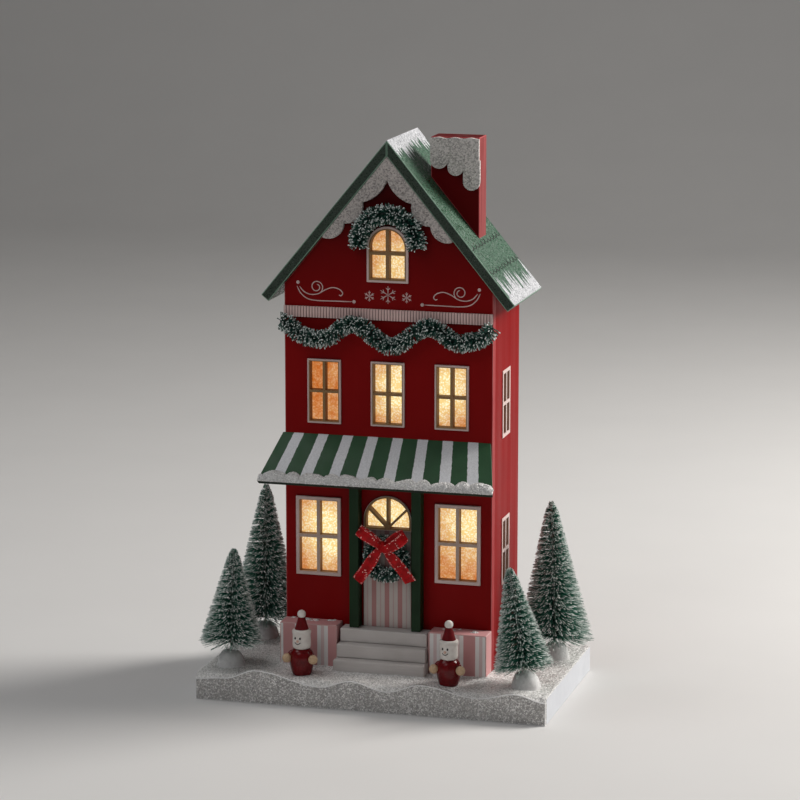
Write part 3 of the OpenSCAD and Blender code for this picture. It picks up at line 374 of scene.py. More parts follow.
class Graph:
    """A material's nodes, laid by short calls. Its place is Object coordinates in millimetres."""

    def __init__(self, name: str) -> None:
        """Starts a material with one shader and its coordinates.

        Args:
            name: The material's name.
        """
        self.material = bpy.data.materials.new(name)
        self.material.use_nodes = True
        self.tree = self.material.node_tree
        self.shader = self.tree.nodes["Principled BSDF"]
        coords = self.tree.nodes.new("ShaderNodeTexCoord").outputs["Object"]
        scaling = {0: coords, "Scale": 1 / MM}
        self.place = self.add("ShaderNodeVectorMath", scaling, operation="SCALE").outputs[0]

    def plug(self, socket: Any, value: Any) -> None:
        """Links a socket's value, or sets it where it is a plain number or colour.

        Args:
            socket: The node's input.
            value: A link, a number or a colour.
        """
        if isinstance(value, bpy.types.NodeSocket):
            self.tree.links.new(value, socket)
        elif isinstance(value, tuple) and socket.type == "RGBA":
            socket.default_value = (*value, 1.0)
        else:
            socket.default_value = value

    def add(self, kind: str, inputs: dict[Any, Any], **settings: Any) -> Any:
        """Adds a node.

        Args:
            kind: The node's type.
            inputs: Values or links for its sockets, by name or number.
            settings: The node's own properties.

        Returns:
            The node.
        """
        node = self.tree.nodes.new(kind)
        for key, value in settings.items():
            setattr(node, key, value)
        for key, value in inputs.items():
            self.plug(node.inputs[key], value)
        return node

    def math(self, operation: str, *values: Any, clamp: bool = False) -> Any:
        """Adds a sum of up to three values and returns its result."""
        node = self.add("ShaderNodeMath", dict(enumerate(values)), operation=operation, use_clamp=clamp)
        return node.outputs[0]

    def scaled(self, size: float, grain: Grain = Grain.NONE) -> Any:
        """Returns the place in units of a size, drawn out along a grain."""
        scale = tuple(1 / (size * stretch) for stretch in grain.value)
        return self.add("ShaderNodeMapping", {"Vector": self.place, "Scale": scale}).outputs[0]

    def noise(self, size: float, grain: Grain = Grain.NONE, detail: float = 2.0) -> Any:
        """Returns cloudy noise of a size, about 0.5."""
        inputs = {"Vector": self.scaled(size, grain), "Scale": 1.0, "Detail": detail}
        return self.add("ShaderNodeTexNoise", inputs).outputs["Fac"]

    def cells(self, size: float) -> Any:
        """Returns a node of random cells of a size, with their distance and colour."""
        return self.add("ShaderNodeTexVoronoi", {"Vector": self.scaled(size), "Scale": 1.0})

    def axes(self) -> Any:
        """Returns a node with the place's x, y and z."""
        return self.add("ShaderNodeSeparateXYZ", {0: self.place})

    def layer(self, name: str) -> Any:
        """Returns a value that the mesh's points carry."""
        return self.add("ShaderNodeAttribute", {}, attribute_name=name).outputs["Fac"]

    def fit(self, value: Any, low: float, high: float, start: float = 0.0, end: float = 1.0) -> Any:
        """Returns a value carried from low..high to start..end and held there."""
        inputs = {"Value": value, "From Min": low, "From Max": high, "To Min": start, "To Max": end}
        return self.add("ShaderNodeMapRange", inputs, clamp=True).outputs[0]

    def mix(self, share: Any, first: Any, second: Any, blend: str = "MIX") -> Any:
        """Returns two colours mixed by a share."""
        inputs = {0: share, 6: first, 7: second}
        return self.add("ShaderNodeMix", inputs, data_type="RGBA", blend_type=blend).outputs[2]

    def bump(self, height: Any, depth: float) -> Any:
        """Returns a normal that a height of some depth bends."""
        inputs = {"Height": height, "Distance": depth * MM, "Strength": 1.0}
        return self.add("ShaderNodeBump", inputs).outputs[0]

    def sparkle(self, color: Any, amount: float, normal: Any) -> Any:
        """Tilts a normal at random by a cell's colour, as glitter flakes lie.

        Args:
            color: The cell's random colour.
            amount: How far the flakes tilt.
            normal: The normal below them.

        Returns:
            The tilted normal.
        """
        tilt = self.add("ShaderNodeVectorMath", {0: color, 1: GREY}, operation="SUBTRACT").outputs[0]
        inputs = {0: tilt, 1: (amount,) * 3, 2: normal}
        bent = self.add("ShaderNodeVectorMath", inputs, operation="MULTIPLY_ADD").outputs[0]
        return self.add("ShaderNodeVectorMath", {0: bent}, operation="NORMALIZE").outputs[0]

    def set(self, **values: Any) -> Any:
        """Sets the shader's sockets, with _ for a space in their names, and returns the material.

        Args:
            values: Links, numbers or colours by socket.

        Returns:
            The material.
        """
        for key, value in values.items():
            self.plug(self.shader.inputs[key.replace("_", " ")], value)
        return self.material


@dataclass(frozen=True)
class Coat:
    """A finish with a name. Each kind of coat mixes its own material."""

    name: str

    def mix(self, graph: Graph) -> Any:
        """Lays the coat's nodes and returns the material."""
        raise NotImplementedError


@dataclass(frozen=True)
class BoardPaint(Coat):
    """Brushed paint on a board: mottled colour, faint strokes along the grain and a satin gloss."""

    color: Color
    shade: Color
    rough: float = 0.45
    grain: Grain = Grain.UP
    depth: float = 0.03
    gloss: float = 0.3

    def tone(self, graph: Graph) -> Any:
        """Returns the paint's colour, mottled in patches and along the strokes.

        Args:
            graph: The material's nodes.

        Returns:
            The colour.
        """
        patches = graph.noise(26.0, detail=3.0)
        strokes = graph.noise(0.9, self.grain)
        share = graph.math("MULTIPLY_ADD", patches, 0.9, graph.math("MULTIPLY", strokes, 0.22))
        return graph.mix(graph.fit(share, 0.38, 0.76), self.color, self.shade)

    def mix(self, graph: Graph) -> Any:
        """Lays the paint, its uneven gloss and its fine relief.

        Args:
            graph: The material's nodes.

        Returns:
            The material.
        """
        fine = graph.math("MULTIPLY", graph.noise(0.35), 0.5)
        relief = graph.math("ADD", graph.noise(0.8, self.grain), fine)
        rough = graph.fit(graph.noise(9.0, self.grain, 3.0), *NOISE_BAND, self.rough - 0.08, self.rough + 0.1)
        return graph.set(Base_Color=self.tone(graph), Roughness=rough, Normal=graph.bump(relief, self.depth),
                         Specular_IOR_Level=self.gloss)


@dataclass(frozen=True)
class WallPaint(BoardPaint):
    """Board paint that darkens upwards as painted shade, and is paler and streaked on its right end face."""

    # Colour and heights of the painted shade that darkens the paint upwards
    deep: Color = (0.1, 0.002, 0.003)
    rise: tuple[float, float] = (0.0, 1.0)
    # Paler colour of the right end face, a painted sheen on the chimney's lit side
    right_end_tone: Color = (0.4, 0.06, 0.065)
    right: float = FAR

    def tone(self, graph: Graph) -> Any:
        """Mixes the paint with the deep colour by height as painted shade, and with the right end's colour
        past the right.

        Args:
            graph: The material's nodes.

        Returns:
            The colour.
        """
        axes = graph.axes()
        # Painted shade: the paint darkens towards the deep colour between the two heights
        wall = graph.mix(graph.fit(axes.outputs[2], *self.rise), super().tone(graph), self.deep)
        streaks = graph.fit(graph.noise(0.9, self.grain, 2.0), *NOISE_BAND, 0.35, 1.0)
        # The right end face takes the paler streaked colour
        end = graph.math("MULTIPLY", graph.math("GREATER_THAN", axes.outputs[0], self.right), streaks)
        return graph.mix(end, wall, self.right_end_tone)


@dataclass(frozen=True)
class StripePaint(BoardPaint):
    """Board paint with upright stripes, a fine line down the middle of each gap, and painted shade that
    browns it between two heights.
    """

    stripe: Color = (0.6, 0.3, 0.3)
    period: float = 7.0
    share: float = 0.45
    start: float = 0.0
    line: float = 0.07
    top: float = FAR
    # Heights and colour of the painted shade that darkens the paint towards the upper height
    shade_span: tuple[float, float] = (FAR, FAR + 1)
    brown: Color = (0.05, 0.022, 0.018)

    def tone(self, graph: Graph) -> Any:
        """Lays stripes on the ground, plain above the top edge, and darkened towards brown between two
        heights as painted shade.

        Args:
            graph: The material's nodes.

        Returns:
            The colour.
        """
        ground = super().tone(graph)
        axes = graph.axes()
        wobble = graph.math("MULTIPLY", graph.noise(6.0, self.grain), 0.02)
        turns = graph.math("DIVIDE", graph.math("SUBTRACT", axes.outputs[0], self.start), self.period)
        at = graph.math("FRACT", graph.math("ADD", turns, wobble))
        band = graph.math("LESS_THAN", at, self.share)
        centre = graph.math("COMPARE", at, (1 + self.share) / 2, self.line / 2)
        mask = graph.math("MAXIMUM", band, graph.math("MULTIPLY", centre, 0.45))
        above = graph.math("GREATER_THAN", axes.outputs[2], self.top)
        striped = graph.mix(graph.math("MAXIMUM", mask, above), ground, self.stripe)
        # Painted shade: browner towards the upper height
        return graph.mix(graph.fit(axes.outputs[2], *self.shade_span, 0.0, 0.7), striped, self.brown)


@dataclass(frozen=True)
class FramePaint(BoardPaint):
    """Board paint on a frame's rim. Its bars are tinted, and the cut sides behind them are scorched wood.

    A row of like frames repeats about a middle at a pitch, across and up.
    """

    bars: Color = (0.4, 0.26, 0.12)
    scorched: Color = (0.2, 0.1, 0.04)
    across: int = 0
    front: float = 0.0
    rim: float = 1.3
    middle: tuple[float, float] = (0.0, 0.0)
    pitch: tuple[float, float] = (FAR, FAR)
    half: tuple[float, float] = (10.0, 10.0)
    arched: bool = False

    def inside(self, graph: Graph) -> Any:
        """Returns the distance in from a frame's outer edge: the least of the ways to its sides and ends.

        Args:
            graph: The material's nodes.

        Returns:
            The distance, measured from the arch's circle where the frame is arched.
        """
        axes = graph.axes()
        ways = []
        for axis, middle, pitch in zip((self.across, 2), self.middle, self.pitch):
            way = graph.math("SUBTRACT", axes.outputs[axis], middle)
            ways.append(graph.math("WRAP", way, pitch / 2, -pitch / 2))
        aside = graph.math("ABSOLUTE", ways[0])
        up = ways[1]
        if self.arched:
            lift = graph.math("MAXIMUM", graph.math("SUBTRACT", up, self.half[1] - self.half[0]), 0.0)
            squares = graph.math("MULTIPLY_ADD", aside, aside, graph.math("MULTIPLY", lift, lift))
            aside = graph.math("SQRT", squares)
            ends = graph.math("ADD", up, self.half[1])
        else:
            ends = graph.math("SUBTRACT", self.half[1], graph.math("ABSOLUTE", up))
        return graph.math("MINIMUM", graph.math("SUBTRACT", self.half[0], aside), ends)

    def tone(self, graph: Graph) -> Any:
        """Returns the paint on the rim, the tint on the bars' front, and the scorched wood further in.

        Args:
            graph: The material's nodes.

        Returns:
            The colour.
        """
        inner = graph.fit(self.inside(graph), self.rim - 0.2, self.rim + 0.2)
        place = graph.math("ABSOLUTE", graph.axes().outputs[1 - self.across])
        deep = graph.math("MULTIPLY", inner, graph.fit(place, self.front - 0.45, self.front - 0.9))
        streaks = graph.noise(1.4, self.grain, 3.0)
        tint = graph.mix(streaks, self.bars, tuple(0.72 * c for c in self.bars))
        wood = graph.mix(streaks, self.scorched, tuple(1.7 * c for c in self.scorched))
        return graph.mix(deep, graph.mix(inner, super().tone(graph), tint), wood)


@dataclass(frozen=True)
class FlutePaint(BoardPaint):
    """Board paint with painted shade in the grooves between flutes."""

    groove_shade: Color = (0.1, 0.05, 0.05)
    pitch: float = 2.0
    start: float = 0.0

    def tone(self, graph: Graph) -> Any:
        """Returns the paint, darkened by cos(turn x / pitch) in the grooves as painted shade.

        Args:
            graph: The material's nodes.

        Returns:
            The colour.
        """
        x = graph.math("SUBTRACT", graph.axes().outputs[0], self.start)
        wave = graph.math("COSINE", graph.math("MULTIPLY", x, TURN / self.pitch))
        # Painted shade in the grooves
        return graph.mix(graph.fit(wave, 0.72, 0.97), super().tone(graph), self.groove_shade)


@dataclass(frozen=True)
class AwningPaint(BoardPaint):
    """Board paint with stripes that spread towards the awning's lower edge, and a front edge darkened as
    painted shade.
    """

    stripe: Color = (0.5, 0.5, 0.5)
    # Near-black colour of the front edge: painted shade under the snow roll
    shaded_fascia: Color = (0.007, 0.016, 0.008)
    low: float = 0.0
    high: float = 1.0
    low_half: float = 1.0
    high_half: float = 1.0
    mid: float = 0.0
    front: float = 0.0
    first: float = 0.0545
    period: float = 0.1195
    share: float = 0.41

    def tone(self, graph: Graph) -> Any:
        """Returns the ground, striped on top: turns = (((x - mid) / half(z) + 1) / 2 - first) / period.

        Args:
            graph: The material's nodes.

        Returns:
            The colour.
        """
        axes = graph.axes()
        half = graph.fit(axes.outputs[2], self.low, self.high, self.low_half, self.high_half)
        across = graph.math("DIVIDE", graph.math("SUBTRACT", axes.outputs[0], self.mid), half)
        from_first = graph.math("ADD", across, 1.0 - 2 * self.first)
        turns = graph.math("DIVIDE", from_first, 2 * self.period)
        wobble = graph.math("MULTIPLY", graph.math("SUBTRACT", graph.noise(3.0), 0.5), 0.05)
        at = graph.math("FRACT", graph.math("ADD", turns, wobble))
        streaks = graph.fit(graph.noise(0.7, self.grain, 2.0), 0.35, 0.7)
        white = graph.mix(streaks, self.stripe, tuple(0.84 * c for c in self.stripe))
        band = graph.math("LESS_THAN", at, self.share)
        on_top = graph.math("GREATER_THAN", axes.outputs[1], self.front)
        # Painted shade: the front edge takes the near-black colour
        ground = graph.mix(on_top, self.shaded_fascia, super().tone(graph))
        return graph.mix(graph.math("MULTIPLY", band, on_top), ground, white)


@dataclass(frozen=True)
class Glitter(Coat):
    """Glued glitter: grains of mixed brightness, tilted at random so that some flash."""

    light: Color
    dark: Color
    grain: float = 0.9
    depth: float = 0.25
    tilt: float = 0.7
    rough: float = 0.5
    # The front face, before this y, takes the dark face colour by a share: painted shade
    front: float = -FAR
    face: Color = (0.012, 0.018, 0.011)
    flecks: tuple[float, float] = (0.15, 1.0)
    bare: float = 0.8
    flash: float = 0.14

    def mix(self, graph: Graph) -> Any:
        """Lays the grains' colours, their gloss and their relief, with the front face darkened as painted
        shade.

        Args:
            graph: The material's nodes.

        Returns:
            The material.
        """
        grains = graph.cells(self.grain)
        lots = graph.add("ShaderNodeSeparateColor", {0: grains.outputs["Color"]})
        patch = graph.math("MULTIPLY", graph.noise(12.0, detail=3.0), 0.5)
        share = graph.fit(graph.math("ADD", lots.outputs[0], patch), *self.flecks)
        rough = graph.fit(lots.outputs[1], 0.72, 0.8, self.rough, self.flash)
        lumps = graph.math("SUBTRACT", graph.noise(self.grain * 2.2), grains.outputs["Distance"])
        normal = graph.sparkle(grains.outputs["Color"], self.tilt, graph.bump(lumps, self.depth))
        # Painted shade on the front face
        before = graph.math("LESS_THAN", graph.axes().outputs[1], self.front)
        ahead = graph.math("MULTIPLY", before, self.bare)
        tone = graph.mix(ahead, graph.mix(share, self.dark, self.light), self.face)
        return graph.set(Base_Color=tone, Roughness=rough, Normal=normal)


@dataclass(frozen=True)
class LitFilm(Coat):
    """Grainy film with its backlight from the bulbs painted on as a glow: amber where it is far from a bulb,
    pale yellow near one.
    """

    far: Color
    near: Color
    strength: float
    glow: float | None = None
    grain: float = 1.1
    tint: Color = (0.84, 0.63, 0.34)
    unlit: Color = (0.1, 0.05, 0.02)

    def mix(self, graph: Graph) -> Any:
        """Lays the film's grain over its painted glow, which the points carry where no even glow is given.

        Args:
            graph: The material's nodes.

        Returns:
            The material.
        """
        grains = graph.cells(self.grain)
        fine = graph.fit(grains.outputs["Distance"], 0.2, 0.62, 1.0, 0.0)
        mottle = graph.fit(graph.noise(5.0), *NOISE_BAND, -0.14, 0.14)
        level = graph.layer(GLOW) if self.glow is None else self.glow
        share = graph.math("ADD", level, mottle, clamp=True)
        clear = graph.mix(share, self.far, self.near)
        lit = graph.mix(fine, graph.mix(1.0, clear, self.tint, "MULTIPLY"), clear)
        # Painted glow: the film emits the lit colour
        return graph.set(Base_Color=graph.mix(0.7, lit, self.unlit), Emission_Color=lit,
                         Emission_Strength=self.strength, Roughness=0.35, Normal=graph.bump(fine, 0.1))


@dataclass(frozen=True)
class ShadedStrandDye(Coat):
    """Dyed strands, painted darker towards the root as shade, with frost on the tips of most of them."""

    # The root colour is darker than the body: painted shade in the strands' dense core
    root: Color
    body: Color
    frost: Color
    start: float = 0.62
    frosted: float = 0.75
    deep: Color = (0.0, 0.02, 0.015)

    def mix(self, graph: Graph) -> Any:
        """Lays the colour along the strand, darker at the root as painted shade, then frost where the
        strand's lot falls under the frosted share.

        Args:
            graph: The material's nodes.

        Returns:
            The material.
        """
        along = graph.layer(ALONG)
        lot = graph.layer(LOT)
        # Painted shade: darker towards the root
        tone_with_root_shade = graph.mix(graph.fit(along, 0.0, 0.5), self.root, self.body)
        tone_with_root_shade = graph.mix(graph.fit(lot, 0.0, 1.0, 0.0, 0.35), tone_with_root_shade, self.deep)
        reach = graph.fit(along, self.start, self.start + 0.16)
        frost = graph.math("MULTIPLY", reach, graph.fit(lot, self.frosted, self.frosted - 0.25))
        patchy = graph.math("MULTIPLY", frost, graph.fit(graph.noise(1.6), 0.3, 0.5, 0.35, 1.0))
        rough = graph.fit(patchy, 0.0, 1.0, 0.38, 0.55)
        return graph.set(Base_Color=graph.mix(patchy, tone_with_root_shade, self.frost), Roughness=rough)


@dataclass(frozen=True)
class Satin(Coat):
    """Woven satin ribbon: fine threads across, edges painted lighter as a highlight, and glitter flecks whose
    glints are painted pale.
    """

    color: Color
    shade: Color
    # Lighter red of the edges, a painted highlight; pale colour of the flecks, a painted glint
    edge: Color
    glint: Color = (1.0, 0.6, 0.55)
    thread: float = 0.5
    flake: float = 0.75

    def mix(self, graph: Graph) -> Any:
        """Lays threads along the ribbon's own length, a painted highlight on the edges and painted glints on
        them.

        Args:
            graph: The material's nodes.

        Returns:
            The material.
        """
        threads = graph.math("SINE", graph.math("MULTIPLY", graph.layer(ALONG), TURN / self.thread))
        glints = graph.cells(self.flake)
        lots = graph.add("ShaderNodeSeparateColor", {0: glints.outputs["Color"]})
        edge = graph.fit(graph.math("ABSOLUTE", graph.layer(LOT)), 0.7, 0.84)
        flash = graph.math("GREATER_THAN", lots.outputs[0], graph.fit(edge, 0.0, 1.0, 0.97, 0.76))
        base = graph.mix(graph.fit(graph.noise(4.0), 0.35, 0.65), self.color, self.shade)
        # Painted highlight on the edges, then painted glints on the flashing flecks
        highlit_edges = graph.mix(graph.math("MULTIPLY", edge, 0.5), base, self.edge)
        final = graph.mix(graph.math("MULTIPLY", flash, 0.85), highlit_edges, self.glint)
        normal = graph.sparkle(glints.outputs["Color"], 0.22, graph.bump(threads, 0.025))
        return graph.set(Base_Color=final, Roughness=graph.fit(flash, 0.0, 1.0, 0.4, 0.12), Normal=normal,
                         Specular_IOR_Level=0.2)


@dataclass(frozen=True)
class Lacquer(Coat):
    """Glossy paint on turned wood, with faint turning lines under the coat."""

    color: Color
    shade: Color
    rough: float = 0.25
    coat: float = 0.5

    def mix(self, graph: Graph) -> Any:
        """Lays a mottled colour, rings round the axis and a clear coat.

        Args:
            graph: The material's nodes.

        Returns:
            The material.
        """
        rings = graph.noise(0.5, Grain.UP)
        tone = graph.mix(graph.fit(graph.noise(3.5, detail=3.0), 0.35, 0.7), self.color, self.shade)
        rough = graph.fit(graph.noise(2.0), *NOISE_BAND, self.rough - 0.05, self.rough + 0.1)
        return graph.set(Base_Color=tone, Roughness=rough, Normal=graph.bump(rings, 0.02),
                         Coat_Weight=self.coat, Coat_Roughness=0.12, Specular_IOR_Level=0.2)


@dataclass(frozen=True)
class BeadWood(Coat):
    """Bare turned wood with growth rings."""

    light: Color
    dark: Color

    def mix(self, graph: Graph) -> Any:
        """Lays rings drawn out along the grain, and fine pores.

        Args:
            graph: The material's nodes.

        Returns:
            The material.
        """
        rings = graph.math("FRACT", graph.math("MULTIPLY", graph.noise(2.6, Grain.DEEP, 1.0), 6.0))
        pores = graph.noise(0.25, Grain.DEEP)
        tone = graph.mix(graph.math("MULTIPLY", rings, 0.7), self.light, self.dark)
        return graph.set(Base_Color=tone, Roughness=0.5, Normal=graph.bump(pores, 0.03))


@dataclass(frozen=True)
class Moulding(Coat):
    """Moulded plastic with a fine spark-eroded texture."""

    color: Color
    rough: float = 0.5
    metal: float = 0.0
    depth: float = 0.02
    pit: float = 0.35
    scuffed: float = 0.04

    def mix(self, graph: Graph) -> Any:
        """Lays an uneven gloss, faint scuffs and the texture.

        Args:
            graph: The material's nodes.

        Returns:
            The material.
        """
        scuffs = graph.fit(graph.noise(6.0, detail=4.0), 0.55, 0.75)
        tone = graph.mix(graph.math("MULTIPLY", scuffs, self.scuffed), self.color, GREY)
        rough = graph.fit(graph.noise(3.0, detail=3.0), *NOISE_BAND, self.rough - 0.07, self.rough + 0.1)
        return graph.set(Base_Color=tone, Roughness=rough, Metallic=self.metal,
                         Normal=graph.bump(graph.noise(self.pit), self.depth))


@dataclass(frozen=True)
class Ground(Coat):
    """The studio's pale floor."""

    color: Color

    def mix(self, graph: Graph) -> Any:
        """Lays a matt, barely uneven colour."""
        share = graph.fit(graph.noise(90.0), *NOISE_BAND, 0.0, 0.06)
        return graph.set(Base_Color=graph.mix(share, self.color, GREY), Roughness=0.65)


RED = BoardPaint("red_board", (0.255, 0.004, 0.0045), (0.23, 0.003, 0.0035), 0.42, gloss=0.03)
# The front's red, with a darker colour for the painted shade towards the gable
FRONT_RED = WallPaint("front_red", RED.color, RED.shade, RED.rough, gloss=0.07, deep=(0.055, 0.0013, 0.002))
# The chimney is darker all over as painted shade, and its right side paler as a painted sheen
CHIMNEY_RED_SHADED = replace(FRONT_RED, name="chimney_red_shaded", deep=(0.115, 0.002, 0.003), right_end_tone=(0.36, 0.09, 0.09))
# Lighter red on the eased edges: a painted highlight along the arrises
RED_EDGE_HIGHLIGHT = BoardPaint("red_edge_highlight", (0.52, 0.12, 0.12), (0.36, 0.03, 0.035), 0.45)
GREEN = BoardPaint("green_post", (0.013, 0.042, 0.015), (0.007, 0.024, 0.008), 0.45, depth=0.06, gloss=0.2)
FRAME = FramePaint("window_frame", (0.74, 0.58, 0.55), (0.6, 0.45, 0.42), 0.55)
DUSTY = BoardPaint("dusty_pink", (0.66, 0.4, 0.39), (0.55, 0.31, 0.3), 0.55)
FLUTED = FlutePaint("cornice_flutes", (0.92, 0.68, 0.65), (0.8, 0.57, 0.54), 0.55, groove_shade=(0.12, 0.05, 0.045))
STEP = BoardPaint("step_white", (0.66, 0.62, 0.6), (0.54, 0.5, 0.48), 0.5, Grain.ACROSS, 0.06)
LINE = BoardPaint("white_line", (0.75, 0.6, 0.58), (0.62, 0.46, 0.44), 0.5)
BASE_SIDE = BoardPaint("base_side", (0.64, 0.66, 0.7), (0.58, 0.6, 0.64), 0.4, Grain.ACROSS)
AWNING = AwningPaint("awning_stripes", (0.028, 0.1, 0.04), (0.018, 0.066, 0.026), 0.5, Grain.DEEP,
                     stripe=(0.82, 0.83, 0.86))
DOOR = StripePaint("door_stripes", (0.6, 0.53, 0.5), (0.5, 0.43, 0.4), 0.5, stripe=(0.46, 0.23, 0.22),
                   period=8.2, share=0.36, start=-9.8, line=0.1)
PLINTH = StripePaint("plinth_stripes", (0.9, 0.87, 0.86), (0.8, 0.76, 0.75), 0.5, stripe=(0.62, 0.31, 0.31),
                     period=14.2, share=0.52, start=-48.5, line=0.14, top=43.0)
SNOW = Glitter("snow_glitter", (1.0, 0.985, 0.97), (0.55, 0.535, 0.52), 0.62, 0.22, 0.85,
               flecks=(0.45, 1.25))
SNOW_COARSE = Glitter("snow_sand", (1.0, 0.98, 0.965), (0.4, 0.385, 0.375), 0.66, 0.22, 0.95,
                      flecks=(0.7, 1.25))
SNOW_TRIM = Glitter("trim_glitter", (0.76, 0.715, 0.69), (0.3, 0.28, 0.265), 0.75, 0.14, 0.9)
SNOW_ROLL = replace(SNOW_COARSE, name="awning_glitter", light=(1.0, 0.99, 0.97), dark=(0.66, 0.65, 0.64))
# A darker copy of the trim glitter for the gable trim: painted shade under the roof
SNOW_GABLE_SHADED = replace(SNOW_TRIM, name="gable_glitter_shaded", light=(0.62, 0.565, 0.54), dark=(0.2, 0.18, 0.172))
# Lighter white on the snow's eased edges: a painted highlight along the rims
SNOW_EDGE_HIGHLIGHT = BoardPaint("snow_edge_highlight", (0.86, 0.85, 0.85), (0.78, 0.77, 0.77), 0.5)
MOUND = Glitter("mound_plaster", (0.74, 0.73, 0.73), (0.64, 0.63, 0.63), 1.6, 0.08, 0.08, 0.6)
ROOF = Glitter("roof_glitter", (0.04, 0.122, 0.068), (0.009, 0.048, 0.024), 0.7, 0.12, 0.5, 0.5)
ROOF_SNOW = Glitter("roof_snow", (0.66, 0.67, 0.7), (0.38, 0.39, 0.42), 0.8, 0.2, 0.5)
# Lighter green on the roof's eased edges: a painted highlight along the arrises
ROOF_EDGE_HIGHLIGHT = BoardPaint("roof_edge_highlight", (0.24, 0.37, 0.28), (0.13, 0.23, 0.17), 0.5)
SHINGLE = BoardPaint("shingle_line", (0.006, 0.022, 0.01), (0.003, 0.012, 0.006), 0.6)
TINSEL = ShadedStrandDye("tinsel", (0.002, 0.016, 0.011), (0.016, 0.1, 0.07), (0.95, 1.0, 0.98), 0.72, 0.6)
BRISTLE = ShadedStrandDye("tree_bristle", (0.005, 0.04, 0.028), (0.04, 0.24, 0.16), (0.98, 1.0, 0.98), 0.8, 0.98)
RIBBON = Satin("satin_ribbon", (0.55, 0.002, 0.006), (0.3, 0.001, 0.002), (0.8, 0.05, 0.05))
PEG_RED = Lacquer("peg_red", (0.16, 0.003, 0.005), (0.1, 0.002, 0.003), 0.2, 0.12)
PEG_CAP = Lacquer("peg_cap", (0.17, 0.005, 0.008), (0.12, 0.003, 0.005), 0.4, 0.04)
PEG_WHITE = Lacquer("peg_white", (0.76, 0.72, 0.68), (0.66, 0.6, 0.56), 0.4, 0.2)
PEG_FACE = Lacquer("peg_face", (0.7, 0.47, 0.38), (0.62, 0.4, 0.32), 0.4, 0.2)
PEG_INK = Lacquer("peg_ink", (0.012, 0.01, 0.01), (0.02, 0.015, 0.015), 0.4, 0.2)
BEAD = BeadWood("bead_wood", (0.66, 0.47, 0.3), (0.45, 0.28, 0.15))
CASE = Moulding("case_black", (0.018, 0.018, 0.02))
SWITCH = Moulding("switch_grey", (0.2, 0.2, 0.21), 0.4)
CELL = Moulding("cell_wrap", (0.03, 0.08, 0.2), 0.25, depth=0.005)
STEEL = Moulding("steel", (0.6, 0.6, 0.62), 0.3, 1.0, 0.01)
WIRE = Moulding("green_wire", (0.01, 0.06, 0.02), 0.45)
STEM = Moulding("twisted_stem", (0.5, 0.56, 0.5), 0.35, 0.5)
# The films glow by emission: painted light from the bulbs behind them
FILM = LitFilm("front_film", (0.52, 0.16, 0.03), (1.0, 0.97, 0.7), 1.08)
SIDE_FILM = LitFilm("side_film", (0.4, 0.08, 0.04), (0.7, 0.4, 0.2), 0.34, 0.3)
BULB = LitFilm("bulb_glow", (1.0, 0.7, 0.3), (1.0, 0.85, 0.55), 4.0, 0.8, 3.0)
FLOOR = Ground("studio_floor", (0.74, 0.73, 0.72))


# The bench


